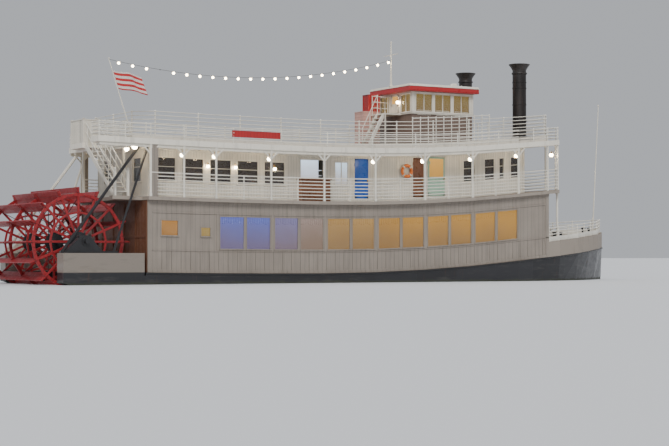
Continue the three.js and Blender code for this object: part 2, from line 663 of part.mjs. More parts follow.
const PILOT_DOOR = { y0: -350, y1: 350, low: pilotFoot + 60, high: PILOT.roof - 60 };
const aftGlass = [[-1450, -550], [550, 1450]].map(([y0, y1]) => rectangle(y0, y1, PILOT_WINDOWS.low,
  PILOT_WINDOWS.high));
aftGlass.push(rectangle(PILOT_DOOR.y0, PILOT_DOOR.y1, PILOT_DOOR.low, PILOT_DOOR.high));
add('pilothouse_wall_aft', crossPlate(pilotEnd, aftGlass, PILOT.x0, PILOT.x0 + WALL), 'white');
addDoor('pilothouse_door', doorLeaf(PILOT_DOOR.y1 - PILOT_DOOR.y0 - 2 * DOOR_GAP,
  PILOT_DOOR.high - PILOT_DOOR.low - 2 * DOOR_GAP, 1), -Math.PI / 2,
[PILOT.x0 - HINGE.out, PILOT_DOOR.y1 - DOOR_GAP + HINGE.back, PILOT_DOOR.low + DOOR_GAP], 'white');

// Landing outside the pilothouse door, with its ladder down to the deck
const LANDING = { aft: 2700, y0: -600, y1: 640, foot: 1800, rise: 240, treads: 6 };

function landingPieces() {
  const pieces = [box(LANDING.aft, PILOT.x0 + 30 - GAP, LANDING.y0, LANDING.y1, PILOT.foot - 60, PILOT.foot - GAP)];
  for (const y of [LANDING.y0, LANDING.y1 - 60]) {
    pieces.push(box(LANDING.aft + 60, LANDING.aft + 120, y, y + 60, SUN_DECK + GAP, PILOT.foot - 30));
  }
  return pieces;
}

function ladderPieces() {
  const foot = SUN_DECK + GAP;
  const head = LANDING.aft - GAP;
  const top = PILOT.foot - GAP;
  const step = (LANDING.foot - LANDING.aft) / (LANDING.treads + 1);
  const pieces = [];
  for (let index = 1; index <= LANDING.treads; index += 1) {
    const x = LANDING.aft + step * index;
    const z = PILOT.foot - LANDING.rise * index;
    pieces.push(box(x - 90, x + 90, LANDING.y0 + 20, LANDING.y0 + 680, z - 35, z));
  }
  for (const y of [LANDING.y0, LANDING.y0 + 660]) {
    pieces.push(sidePlate([[LANDING.foot - 80, foot], [LANDING.foot + 80, foot], [head, top - 240], [head, top],
      [head - 60, top]], [], y, y + 40));
  }
  return pieces;
}
add('pilothouse_landing', standing(joined(landingPieces()), pilotMiddle, SUN_DECK + GAP), 'white');
add('pilothouse_ladder', standing(joined(ladderPieces()), pilotMiddle, SUN_DECK + GAP), 'white');

const ROOF = { x0: 3370, x1: 7660, half: 1950, low: PILOT.roof, high: WATERLINE + 9950 };
const ROOF_EDGE = 60;
const roofRing = (x, half, z) => [[x, -half, z], [x, half, z]];
const roofRings = [[ROOF.x0, ROOF.x1, ROOF.half, ROOF.low], [ROOF.x0, ROOF.x1, ROOF.half, ROOF.high - ROOF_EDGE],
  [ROOF.x0 + ROOF_EDGE, ROOF.x1 - ROOF_EDGE, ROOF.half - ROOF_EDGE, ROOF.high]]
  .map(([x0, x1, half, z]) => [...roofRing(x0, half, z), ...roofRing(x1, half, z).reverse()]);
add('pilothouse_roof', loft(roofRings.map((ring) => [...ring].reverse())), 'red');

// Mast at the after edge of the roof
const MAST = { x: 3500, top: WATERLINE + 12260 };
add('mast', joined([rod([MAST.x, 0, ROOF.high + GAP], [MAST.x, 0, MAST.top], 45),
  rod([MAST.x, -700, MAST.top - 700], [MAST.x, 700, MAST.top - 700], 25, 6)]), 'white');

// Deck hut behind the pilothouse: a vent casing on a wider locker
const HUT = { fore: 3260, shelf: SUN_DECK + 1850, top: SUN_DECK + 2720 };
add('deck_hut', standing(joined([box(2260, HUT.fore, 700, 1600, SUN_DECK + GAP, HUT.shelf),
  box(2560, HUT.fore, 700, 1300, HUT.shelf, HUT.top)]), 3000, SUN_DECK + GAP), 'red');

// Paddle wheel: three rings of spokes on one shaft, with a bucket board at every spoke
const RING = { outer: 2180, rim: 110, inner: 1340, hub: 330, spoke: 95, thick: 70 };

function wheelSector(index, radius0, radius1) {
  const step = (Math.PI * 2) / WHEEL.buckets;
  const turn = (radius, place, shift) => {
    const angle = place * step;
    const along = radius / Math.cos(step / 2);
    const side = new THREE.Vector2(Math.cos(angle), Math.sin(angle)).multiplyScalar(along);
    const normal = new THREE.Vector2(-Math.sin(angle), Math.cos(angle)).multiplyScalar(shift);
    return side.add(normal).toArray();
  };
  const half = RING.spoke / 2;
  return [turn(radius0, index, half), turn(radius1, index, half), turn(radius1, index + 1, -half),
    turn(radius0, index + 1, -half)];
}

// The hole for the shaft: its flats stand opposite the shaft's corners, and clear them by the clearance
const SHAFT_SIDES = 12;
function shaftHole(clearance) {
  const radius = (WHEEL.shaft + clearance) / Math.cos(Math.PI / SHAFT_SIDES);
  return Array.from({ length: SHAFT_SIDES }, (_, index) => {
    const angle = ((index + 0.5) * Math.PI * 2) / SHAFT_SIDES;
    return [Math.cos(angle) * radius, Math.sin(angle) * radius];
  });
}

function wheelFrame(y) {
  const rim = [];
  const holes = [shaftHole(GAP)];
  for (let index = 0; index < WHEEL.buckets; index += 1) {
    const angle = (index * Math.PI * 2) / WHEEL.buckets;
    rim.push([Math.cos(angle) * RING.outer, Math.sin(angle) * RING.outer]);
    holes.push(wheelSector(index, RING.hub, RING.inner - RING.rim));
    holes.push(wheelSector(index, RING.inner, (RING.outer - 160)));
  }
  return sidePlate(rim, holes, y - RING.thick / 2, y + RING.thick / 2);
}

function bucket(index) {
  const angle = (index * Math.PI * 2) / WHEEL.buckets;
  return box(1900, WHEEL.radius, -WHEEL.half - 60, WHEEL.half + 60, -26, 26).rotateY(-angle);
}

const wheelPieces = [-WHEEL.half + 35, 0, WHEEL.half - 35].map(wheelFrame);
for (let index = 0; index < WHEEL.buckets; index += 1) wheelPieces.push(bucket(index));
const wheel = add('paddle_wheel', joined(wheelPieces), 'red');
wheel.position.set(WHEEL.x, 0, WHEEL.z);
const shaft = add('wheel_shaft', rod([0, -HORN.y1 + 60, 0], [0, HORN.y1 - 60, 0], WHEEL.shaft, SHAFT_SIDES), 'black');
shaft.position.set(WHEEL.x, 0, WHEEL.z);

// A bearing stands on each horn. Two legs run up from the horn to the deck, the long one over the bearing.
const LEG_HEADS = [-12040, -11630];
const LEG_TOP = EAVE + sheer(LEG_HEADS[0]) - 60;
const LEG_FEET = [-15650, -13250];
const LEG_RADII = [70, 60];

for (const [name, side] of SIDES) {
  const y = [3600, 3900].map((place) => place * side).sort((a, b) => a - b);
  const journal = shaftHole(RUNNING).map(([x, z]) => [x + WHEEL.x, z + WHEEL.z]);
  const block = sidePlate([[WHEEL.x - 1000, HORN.top + GAP], [WHEEL.x + 850, HORN.top + GAP],
    [WHEEL.x + 230, WHEEL.z + 230], [WHEEL.x - 230, WHEEL.z + 230]], [journal], y[0], y[1]);
  const middle = side * 3750;
  const braces = LEG_FEET.map((foot, index) => rod([foot, middle, HORN.top + 60], [LEG_HEADS[index], middle, LEG_TOP],
    LEG_RADII[index], 6));
  braces.push(box(LEG_FEET[0] - 95, LEG_FEET[1] + 160, middle - 110, middle + 110, HORN.top + GAP, HORN.top + 90));
  braces.push(sheered(box(LEG_HEADS[0] - 140, LEG_HEADS[1] + 140, middle - 90, middle + 90, EAVE - 90, EAVE - GAP)));
  add(`wheel_bearing_${name}`, joined([block, ...braces]), 'black');
}

// Rudders
for (const [name, y] of [['middle', 0], ['starboard', -RUDDER.y], ['port', RUDDER.y]]) {
  const blade = slab([[-RUDDER.aft, -20], [0, -45], [RUDDER.fore, -15], [RUDDER.fore, 15], [0, 45],
    [-RUDDER.aft, 20]], [], RUDDER.low, RUDDER.high);
  const stock = rod([0, 0, RUDDER.high - 300], [0, 0, RUDDER.high + RUDDER.depth], RUDDER.stock, 12)
    .rotateZ(Math.PI / 12);
  const rudder = add(`rudder_${name}`, joined([blade, stock]), 'black');
  rudder.position.set(RUDDER.x, y, 0);
}

// Stern stair: its last step is a small platform, level with the rise below the deck
function stairPieces() {
  const rise = (EAVE_TOP - PROMENADE) / STAIR.steps;
  const run = (STAIR.head - STAIR.foot) / STAIR.steps;
  const inner = [STAIR.x0 + 20, STAIR.x1 - 20];
  const pieces = [];
  for (let index = 1; index < STAIR.steps - 1; index += 1) {
    const y = STAIR.foot + run * index;
    const z = PROMENADE + rise * index;
    pieces.push(box(...inner, y - 130, y + 130, z - 40, z));
  }
  const platform = PROMENADE + rise * (STAIR.steps - 1);
  pieces.push(box(...inner, STAIR.head - 1.5 * run, STAIR.head - GAP, platform - 40, platform));
  const outline = [[STAIR.foot - 60, PROMENADE + GAP], [STAIR.foot + 240, PROMENADE + GAP],
    [STAIR.head - GAP, EAVE_TOP - 260], [STAIR.head - GAP, EAVE_TOP], [STAIR.head - 60, EAVE_TOP]];
  for (const x of [STAIR.x0, STAIR.x1 - 40 - GAP]) pieces.push(crossPlate(outline, [], x, x + 40));
  return pieces;
}
add('stern_stair', sheered(joined(stairPieces())), 'white');

// Boarded bulwark round the landing at the stair's head
const bulwarkEdges = [HEAD_LANDING.aft + 40, STAIR.head + 20, HEAD_LANDING.port - 20];
const bulwarkTop = EAVE_TOP + 1080;
add('stern_bulwark', sheered(joined([
  box(bulwarkEdges[0], bulwarkEdges[0] + WALL, bulwarkEdges[1], bulwarkEdges[2], EAVE_TOP + GAP, bulwarkTop),
  box(bulwarkEdges[0], STAIR.x1, bulwarkEdges[1], bulwarkEdges[1] + WALL, EAVE_TOP + GAP, bulwarkTop),
  box(bulwarkEdges[0], DECK_AFT, bulwarkEdges[2] - WALL, bulwarkEdges[2], EAVE_TOP + GAP, bulwarkTop),
])), 'white');

// Two posts under the after edge of the deck
const POST_AT = { x: DECK_AFT + 60, y: 2450, half: 50 };
for (const [name, side] of SIDES) {
  const y = side * POST_AT.y;
  add(`stern_post_${name}`, sheered(box(POST_AT.x - POST_AT.half, POST_AT.x + POST_AT.half, y - POST_AT.half,
    y + POST_AT.half, PROMENADE + GAP, EAVE - GAP)), 'white');
}

// Flagstaff raked aft from the corner of the gallery, with its flag forward of it
const STAFF = { x: -12260, y: -3520, top: WATERLINE + 9900, rake: 1150, radius: 28 };
const staffFoot = EAVE_TOP + GAP;
const staffHeight = STAFF.top - staffFoot;
add('flagstaff', standing(joined([rod([STAFF.x, STAFF.y, staffFoot + 60], [STAFF.x - STAFF.rake, STAFF.y, STAFF.top],
  STAFF.radius, 6), box(STAFF.x - 90, STAFF.x + 90, STAFF.y - 80, STAFF.y + 80, staffFoot, staffFoot + 90)]),
STAFF.x, staffFoot), 'white');
const staffAt = (z) => STAFF.x - (STAFF.rake * (z - staffFoot - 60)) / (staffHeight - 60)
  + STAFF.radius * Math.hypot(1, STAFF.rake / staffHeight) + GAP;
const FLAG = { high: WATERLINE + 9380, low: WATERLINE + 8580, fly: 1450, droop: 260 };
add('flag', sidePlate([[staffAt(FLAG.high), FLAG.high], [staffAt(FLAG.low), FLAG.low],
  [staffAt(FLAG.low) + FLAG.fly, FLAG.low - FLAG.droop], [staffAt(FLAG.high) + FLAG.fly, FLAG.high - FLAG.droop]],
[], STAFF.y - 12, STAFF.y + 12).translate(0, 0, sheer(STAFF.x)), 'cloth');

// Jackstaff at the stem
const JACK = { x: 16560, top: WATERLINE + 8300, lean: 440 };
const jackFoot = FOREDECK + GAP;
add('jackstaff', standing(joined([rod([JACK.x, 0, jackFoot + 60], [JACK.x + JACK.lean, 0, JACK.top], 32, 6),
  box(JACK.x - 90, JACK.x + 90, -90, 90, jackFoot, jackFoot + 110)]), JACK.x, jackFoot), 'white');

// Capstan on the foredeck
const capstanFoot = FOREDECK + GAP;
add('capstan', standing(turned([[0, 0], [300, 0], [260, 90], [150, 160], [140, 420], [230, 560], [0, 580]], 12)
  .translate(12300, -1500, capstanFoot), 12300, capstanFoot), 'white');

// Blank board on the eave rail
const BOARD_Y = -EDGE + RAIL_INSET - RAIL_THICK / 2 - GAP;
add('name_board', sheered(box(-7680, -5170, BOARD_Y - 30, BOARD_Y, EAVE_TOP + 270, EAVE_TOP + 580)), 'red');

export default group;
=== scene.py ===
"""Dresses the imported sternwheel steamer: finishes, rails, windows, lamps, wheel, stacks, pilothouse and deck gear.

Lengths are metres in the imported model's own frame: +X forward, +Y to port, +Z up from the flat bottom. Heights are
those amidships, and follow_sheer() then lifts a piece with the sheer of the decks.
"""
import math

import bmesh
import bpy
from bpy.props import FloatProperty, FloatVectorProperty, IntProperty, PointerProperty
from mathutils import Matrix, Vector


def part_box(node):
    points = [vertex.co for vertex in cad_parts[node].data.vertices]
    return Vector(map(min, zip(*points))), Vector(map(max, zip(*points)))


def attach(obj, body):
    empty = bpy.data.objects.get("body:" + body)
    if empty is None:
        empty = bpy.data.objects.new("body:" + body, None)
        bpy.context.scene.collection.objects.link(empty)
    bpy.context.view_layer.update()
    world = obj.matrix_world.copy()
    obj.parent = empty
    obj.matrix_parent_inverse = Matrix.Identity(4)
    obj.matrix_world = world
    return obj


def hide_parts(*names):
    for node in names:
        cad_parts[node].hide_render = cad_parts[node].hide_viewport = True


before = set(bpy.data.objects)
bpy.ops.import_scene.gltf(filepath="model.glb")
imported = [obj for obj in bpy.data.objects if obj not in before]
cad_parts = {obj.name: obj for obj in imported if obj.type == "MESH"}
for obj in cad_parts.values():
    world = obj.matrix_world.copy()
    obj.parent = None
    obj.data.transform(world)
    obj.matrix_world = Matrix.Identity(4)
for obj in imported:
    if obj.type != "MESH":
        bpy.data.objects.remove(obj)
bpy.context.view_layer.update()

bl_info = {
    "name": "Sternwheel steamer",
    "version": (1, 0, 0),
    "blender": (4, 5, 0),
    "location": "3D View > Sidebar > Steamer",
    "description": "Rails, windows, lamps, paddle wheel and finishes of a sternwheel steamer",
    "category": "Object",
}

# Levels above the bottom, amidships
WATER, MAIN_DECK, FOREDECK, PROMENADE = 1.2, 1.65, 2.43, 5.04
EAVE, EAVE_TOP, SUN_DECK, ROOF_TOP = 7.35, 7.6, 7.88, 11.15

# Half the breadth of the decks, the main house, the cabin, the sun deck and the pilothouse
EDGE, MAIN_SIDE, CABIN_SIDE, SUN_SIDE, PILOT_HALF = 4.25, 3.987, 3.0, 3.05, 1.6
RAIL_INSET = 0.06
SIDES = (("starboard", -1), ("port", 1))

# Places along the boat: the frames' spacing, then the ends of houses and decks
FRAME = 2.82
CABIN_AFT, CABIN_FORE = -11.28, 9.7
PILOT_X0, PILOT_X1 = 3.74, 7.47
GALLERY_AFT, GALLERY_INNER = -14.18, -3.33
DECK_AFT = -12.3
FRONT_CURVE = ((8.46, 0.0), (10.4, 0.06), (11.2, 0.26), (11.56, 0.9), (11.66, 1.9))

# Stern stair, flagstaff, stacks, mast and wheel
STAIR_X0, STAIR_X1, STAIR_FOOT, STAIR_HEAD = -13.1, -12.4, -3.48, 0.1
STAIR_STEPS = 12
STAFF_FOOT, STAFF_RAKE = Vector((-12.26, -3.52, 7.6)), 0.3343
STACK_X, STACK_Y = 9.8, 2.45
MAST_X = 3.5
WHEEL_HUB = Vector((-14.62, 0, 3.1))

VALANCE_DROP = 0.34

# The camera of the photograph, with its tilt and turn in degrees, and the light
CAMERA_PLACE, CAMERA_LENS = (-41.18, -71.59, 2.47), 88.79
CAMERA_TILT, CAMERA_YAW = 1.146, -30
SKY_COLOUR, SKY_STRENGTH = (0.80, 0.83, 0.88), 0.6
LIGHTS = (("key_light", (-0.62, -1.0, 0.95), 2.3, 0.4), ("fill_light", (0.9, 0.5, 1.1), 0.7, 0.8))

# Edges sharper than this stay sharp
SMOOTH = math.radians(40)


# The sheer's lowest place, its curve aft and forward of it, and where it goes on straight to the bow
SHEER_LOW, SHEER_AFT, SHEER_FORE, SHEER_BEND, SHEER_SLOPE = -3, 0.0011, 0.0044, 12, 0.09


def sheer_curve(x):
    """The smooth curve that the decks' rise follows"""
    run = x - SHEER_LOW
    if run < 0:
        return SHEER_AFT * run * run
    if run < SHEER_BEND:
        return SHEER_FORE * run * run
    return SHEER_FORE * SHEER_BEND ** 2 + SHEER_SLOPE * (run - SHEER_BEND)


def sheer(x):
    """How far the decks rise at x: straight between two frames"""
    low = math.floor(x / FRAME) * FRAME
    share = (x - low) / FRAME
    return sheer_curve(low) * (1 - share) + sheer_curve(low + FRAME) * share


PILOT_FOOT = 9.38 + sheer(5.64)


# Shapes

def up(height):
    """A step straight up"""
    return Vector((0, 0, height))


def box(bm, low, high, wall=None):
    """A block between two corners, in the boat's frame or a wall's"""
    low, high = Vector(low), Vector(high)
    size = Vector(abs(part) for part in high - low)
    matrix = Matrix.LocRotScale((low + high) / 2, None, size)
    return bmesh.ops.create_cube(bm, size=1, matrix=(wall @ matrix) if wall else matrix)["verts"]


def board(bm, wall, u0, u1, low, high, proud):
    """A board on a wall, between two places along it and two levels"""
    box(bm, (u0, 0, low), (u1, proud, high), wall)


def batten(bm, wall, middle, half, low, high, proud):
    """An upright strip on a wall, by its middle and half its width"""
    board(bm, wall, middle - half, middle + half, low, high, proud)


def post(bm, place, along, across, low, high):
    """A square post, by half its breadth along and across the boat"""
    x, y = place
    box(bm, (x - along, y - across, low), (x + along, y + across, high))


def aimed(start, end, place):
    """The matrix that stands a shape at a place, with its Z from start to end"""
    return Matrix.Translation(place) @ (end - start).to_track_quat("Z", "Y").to_matrix().to_4x4()


def beam(bm, start, end, width, height):
    """A square timber between two points"""
    start, end = Vector(start), Vector(end)
    size = Matrix.Diagonal((width, height, (end - start).length, 1))
    bmesh.ops.create_cube(bm, size=1, matrix=aimed(start, end, (start + end) / 2) @ size)


def sweep(bm, face, points):
    """Draws a face out along a line of points, with a mitre at each"""
    points = [Vector(point) for point in points]
    for index in range(1, len(points)):
        along = (points[index] - points[index - 1]).normalized()
        ahead = (points[index + 1] - points[index]).normalized() if index + 1 < len(points) else along
        mitre = (along + ahead).normalized()
        made = bmesh.ops.extrude_face_region(bm, geom=[face])["geom"]
        face = next(part for part in made if isinstance(part, bmesh.types.BMFace))
        for vert in face.verts:
            vert.co += along * ((points[index] - vert.co).dot(mitre) / along.dot(mitre))


def facing(points):
    """The matrix that stands a flat outline square to the start of a line of points"""
    start = Vector(points[0])
    return aimed(start, Vector(points[1]), start)


def bar(bm, points, radius, sides=8):
    """A round bar along a line of points"""
    ring = bmesh.ops.create_circle(bm, cap_ends=True, segments=sides, radius=radius, matrix=facing(points))
    sweep(bm, ring["verts"][0].link_faces[0], points)


def strip(bm, points, thick, height):
    """A board on edge along a line of points"""
    matrix = facing(points) @ Matrix.Diagonal((thick, height, 1, 1))
    ring = bmesh.ops.create_grid(bm, x_segments=1, y_segments=1, size=0.5, matrix=matrix)["verts"]
    sweep(bm, ring[0].link_faces[0], points)


def ball(bm, place, radius, across=10, rings=6):
    bmesh.ops.create_uvsphere(bm, u_segments=across, v_segments=rings, radius=radius,
                              matrix=Matrix.Translation(Vector(place)))


def disc(bm, start, end, radius, end_radius=None, sides=12, wall=None):
    """A straight round piece between two points, which may taper"""
    start, end = (wall @ Vector(point) if wall else Vector(point) for point in (start, end))
    bmesh.ops.create_cone(bm, cap_ends=True, segments=sides, radius1=radius,
                          radius2=radius if end_radius is None else end_radius, depth=(end - start).length,
                          matrix=aimed(start, end, (start + end) / 2))


def compass(count, shift=0.0):
    """Evenly spaced level directions, each with its angle"""
    angles = [(index + shift) * math.tau / count for index in range(count)]
    return [(angle, Vector((math.cos(angle), math.sin(angle), 0))) for angle in angles]


def turned(bm, profile, matrix, sides=24):
    """A turned piece from its half profile, given as (radius, height)"""
    part = bmesh.new()
    verts = [part.verts.new((radius, 0, height)) for radius, height in profile]
    edges = [part.edges.new(pair) for pair in zip(verts, verts[1:])]
    bmesh.ops.spin(part, geom=verts + edges, cent=(0, 0, 0), axis=(0, 0, 1), angle=math.tau, steps=sides,
                   use_merge=True)
    bmesh.ops.remove_doubles(part, verts=part.verts, dist=1e-5)
    bmesh.ops.recalc_face_normals(part, faces=part.faces)
    part.transform(matrix)
    mesh = bpy.data.meshes.new("turned")
    part.to_mesh(mesh)
    part.free()
    bm.from_mesh(mesh)
    bpy.data.meshes.remove(mesh)


def side_wall(side, half):
    """Along the boat, out from the wall, up"""
    return Matrix(((1, 0, 0, 0), (0, side, 0, side * half), (0, 0, 1, 0), (0, 0, 0, 1)))


def end_wall(facing_x, x, lift=0.0):
    """Across the boat, out from the wall, up"""
    return Matrix(((0, facing_x, 0, x), (1, 0, 0, 0), (0, 0, 1, lift), (0, 0, 0, 1)))


def follow_sheer(bm):
    """Cuts a piece at the frames and lifts it with the sheer"""
    for index in range(-6, 7):
        bmesh.ops.bisect_plane(bm, geom=bm.verts[:] + bm.edges[:] + bm.faces[:], dist=1e-5,
                               plane_co=(index * FRAME, 0, 0), plane_no=(1, 0, 0))
    for vert in bm.verts:
        vert.co.z += sheer(vert.co.x)


def finished(name, bm, finish_name, body="vessel", stands_for=(), rounding=0.0, smooth=None, segments=1,
             slot=None):
    """Makes the piece's object, with its finish, rounded edges and body; the slot argument is not used"""
    bmesh.ops.recalc_face_normals(bm, faces=bm.faces)
    mesh = bpy.data.meshes.new(name)
    bm.to_mesh(mesh)
    bm.free()
    mesh.materials.append(finish(finish_name))
    made = bpy.data.objects.new(name, mesh)
    bpy.context.scene.collection.objects.link(made)
    if smooth is not None:
        mesh.shade_smooth()
        mesh.set_sharp_from_angle(angle=smooth)
    if rounding:
        bevel = made.modifiers.new("Rounded edges", "BEVEL")
        bevel.width = rounding
        bevel.segments = segments
        bevel.limit_method = "ANGLE"
        bevel.angle_limit = SMOOTH
    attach(made, body)
    if stands_for:
        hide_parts(*stands_for)
    return made


def cloth(name, bm, finish_name, **settings):
    """Makes the object of a sheet, with the thickness of its cloth"""
    made = finished(name, bm, finish_name, slot="flag_cloth", smooth=math.pi, **settings)
    thick = made.modifiers.new("Cloth", "SOLIDIFY")
    thick.thickness = 0.002
    thick.offset = 0
    return made


# Finishes

class Finish:
    """A material whose pattern is built towards its Principled shader"""

    def __init__(self, name):
        self.material = bpy.data.materials.new(name)
        self.material.use_nodes = True
        self.tree = self.material.node_tree
        self.shader = self.tree.nodes["Principled BSDF"]
        self.place = self.node("ShaderNodeTexCoord").outputs["Object"]

    def node(self, kind, inputs=None, **settings):
        made = self.tree.nodes.new(kind)
        for key, value in settings.items():
            setattr(made, key, value)
        for key, value in (inputs or {}).items():
            self.feed(made.inputs[key], value)
        return made

    def feed(self, socket, value):
        if isinstance(value, bpy.types.NodeSocket):
            self.tree.links.new(value, socket)
        elif hasattr(value, "__len__") and socket.type == "RGBA":
            socket.default_value = (*value[:3], 1)
        else:
            socket.default_value = value

    def math(self, operation, first, second=0.5, third=0.5):
        return self.node("ShaderNodeMath", {0: first, 1: second, 2: third}, operation=operation).outputs[0]

    def noise(self, scale, detail=3.0, stretch=(1, 1, 1), roughness=0.55):
        place = self.node("ShaderNodeMapping", {"Vector": self.place, "Scale": stretch}).outputs[0]
        return self.node("ShaderNodeTexNoise", {"Vector": place, "Scale": scale, "Detail": detail,
                                                "Roughness": roughness}).outputs["Fac"]

    def band(self, value, low, high, start=0.0, end=1.0):
        """Spreads low..high over start..end, and holds it there outside"""
        return self.node("ShaderNodeMapRange", {0: value, 1: low, 2: high, 3: start, 4: end}).outputs[0]

    def mix(self, share, first, second):
        return self.node("ShaderNodeMix", {0: share, 6: first, 7: second}, data_type="RGBA").outputs[2]

    def axis(self, name):
        return self.node("ShaderNodeSeparateXYZ", {0: self.place}).outputs[name]

    def facing(self, name):
        """The share of the surface's own direction along an axis"""
        geometry = self.node("ShaderNodeNewGeometry").outputs["Normal"]
        return self.node("ShaderNodeSeparateXYZ", {0: geometry}).outputs[name]

    def seams(self, name, width, gap=0.006):
        """0 in the seams between boards of one width, 1 on the boards, and a random tone for each board"""
        along = self.axis(name)
        distance = self.math("PINGPONG", along, width / 2)
        face = self.band(distance, gap * 0.4, gap)
        count = self.math("FLOOR", self.math("DIVIDE", along, width))
        tone = self.node("ShaderNodeTexWhiteNoise", {"W": count}, noise_dimensions="1D").outputs["Value"]
        return face, tone

    def edges(self, radius):
        """1 along the outer edges, 0 on the flat"""
        rounded = self.node("ShaderNodeBevel", {"Radius": radius}, samples=4).outputs[0]
        true = self.node("ShaderNodeNewGeometry").outputs["Normal"]
        same = self.node("ShaderNodeVectorMath", {0: rounded, 1: true}, operation="DOT_PRODUCT").outputs["Value"]
        return self.band(same, 0.985, 0.8)

    def bump(self, height, distance, strength=0.6):
        normal = self.node("ShaderNodeBump", {"Height": height, "Distance": distance, "Strength": strength})
        self.feed(self.shader.inputs["Normal"], normal.outputs[0])

    def set(self, **sockets):
        for key, value in sockets.items():
            self.feed(self.shader.inputs[key.replace("_", " ")], value)
        return self.material


def toned(colour, share):
    return tuple(part * share for part in colour[:3])


def painted(name, colour, rough=0.42, boards=None, streaks=0.35, wear=0.0, under=(0.2, 0.12, 0.07), grain=False):
    """Brushed paint with clouded tone, dirt run down by rain, seams between boards and edges rubbed through"""
    look = Finish(name)
    cloud = look.noise(0.9, 4)
    shade = look.mix(look.band(cloud, 0.3, 0.7), toned(colour, 0.84), colour)
    runs = look.band(look.noise(1.3, 5, (4.5, 4.5, 0.3)), 0.5, 0.78)
    dirt = look.math("MULTIPLY", runs, streaks)
    shade = look.mix(dirt, shade, toned(colour, 0.42))
    height = look.math("MULTIPLY", look.noise(26, 3, (1, 1, 0.45)), 0.18)
    if grain:
        fibres = look.noise(14, 4, (3.5, 3.5, 0.25))
        shade = look.mix(look.band(fibres, 0.45, 0.75, 0, 0.4), shade, toned(colour, 0.55))
        height = look.math("MULTIPLY_ADD", fibres, 0.5, height)
    if boards:
        face, tone = look.seams(*boards)
        shade = look.mix(look.band(tone, 0, 1, 0, 0.22), shade, toned(colour, 0.72))
        shade = look.mix(face, toned(colour, 0.3), shade)
        height = look.math("ADD", face, height)
    if wear:
        rubbed = look.math("MULTIPLY", look.edges(0.012), look.band(look.noise(9, 4), 0.42, 0.62))
        shade = look.mix(look.math("MULTIPLY", rubbed, wear), shade, under)
    look.bump(height, 0.004 if boards else 0.0015)
    roughness = look.band(look.math("ADD", look.noise(5, 3), dirt), 0.3, 1.1, rough - 0.1, rough + 0.3)
    return look.set(Base_Color=shade, Roughness=roughness, Coat_Weight=0.12, Coat_Roughness=0.25)


def planked(look, colour):
    """Tone and height of deck planks with dark caulked seams"""
    face, tone = look.seams("Y", 0.14)
    grain = look.noise(6, 5, (0.6, 9, 1))
    shade = look.mix(look.band(tone, 0, 1, 0, 0.5), colour, toned(colour, 0.68))
    shade = look.mix(look.band(grain, 0.4, 0.8, 0, 0.6), shade, toned(colour, 0.5))
    worn = look.band(look.noise(0.45, 4), 0.5, 0.7, 0, 0.5)
    shade = look.mix(worn, shade, tuple(min(1, part * 1.35 + 0.03) for part in colour))
    shade = look.mix(face, (0.02, 0.018, 0.015), shade)
    return shade, look.math("MULTIPLY_ADD", grain, 0.3, face)


def decked(name, top, side):
    """A deck: planks on top, paint on its edge and boards overhead"""
    look = Finish(name)
    planks, height = planked(look, top)
    upward = look.band(look.facing("Z"), 0.5, 0.6)
    runs = look.band(look.noise(1.6, 5, (3, 3, 0.4)), 0.52, 0.8, 0, 0.45)
    paint = look.mix(runs, side, toned(side, 0.45))
    look.bump(look.math("MULTIPLY", height, look.math("MAXIMUM", upward, 0.5)), 0.005, 0.5)
    return look.set(Base_Color=look.mix(upward, paint, planks), Roughness=look.band(height, 0, 1.3, 0.5, 0.75))


def hull_paint(name, colours):
    """Black topsides in plates, white horns over the waterline aft, and a stained band at the water"""
    look = Finish(name)
    across, tone = look.seams("X", 2.35, 0.012)
    level = look.seams("Z", 0.62, 0.012)[0]
    plates = look.math("MULTIPLY", across, level)
    aft = look.band(look.axis("X"), -11.94, -11.96)
    above = look.band(look.axis("Z"), 1.74, 1.76)
    pale = look.math("MULTIPLY", aft, above)
    black = look.mix(look.band(tone, 0, 1, 0, 0.5), colours.hull, toned(colours.hull, 2.1))
    scuffs = look.band(look.noise(2.2, 6, (0.5, 0.5, 3)), 0.56, 0.75, 0, 0.5)
    black = look.mix(scuffs, black, (0.075, 0.07, 0.066))
    rust = look.band(look.noise(2.5, 6, (3, 3, 0.3)), 0.62, 0.8, 0, 0.7)
    black = look.mix(rust, black, (0.085, 0.034, 0.016))
    edge = look.math("ADD", look.axis("Z"), look.band(look.noise(3, 4), 0.3, 0.7, -0.05, 0.05))
    wet = look.band(edge, WATER + 0.14, WATER + 0.04)
    black = look.mix(look.math("MULTIPLY", wet, 0.7), black, (0.045, 0.05, 0.03))
    top = look.band(look.facing("Z"), 0.6, 0.7)
    # Painted shade: the white horns take the house colour, darkened further, so they carry its painted shade
    white = look.mix(scuffs, toned(colours.house, 0.75), toned(colours.house, 0.4))
    shade = look.mix(top, look.mix(pale, black, white), toned(colours.deck, 0.7))
    look.bump(look.math("MULTIPLY_ADD", look.noise(1.1, 2), 0.8, plates), 0.006, 0.5)
    roughness = look.band(look.math("ADD", look.noise(4, 4), look.math("ADD", rust, wet)), 0.35, 1.4, 0.3, 0.8)
    return look.set(Base_Color=shade, Roughness=roughness, Coat_Weight=0.15)


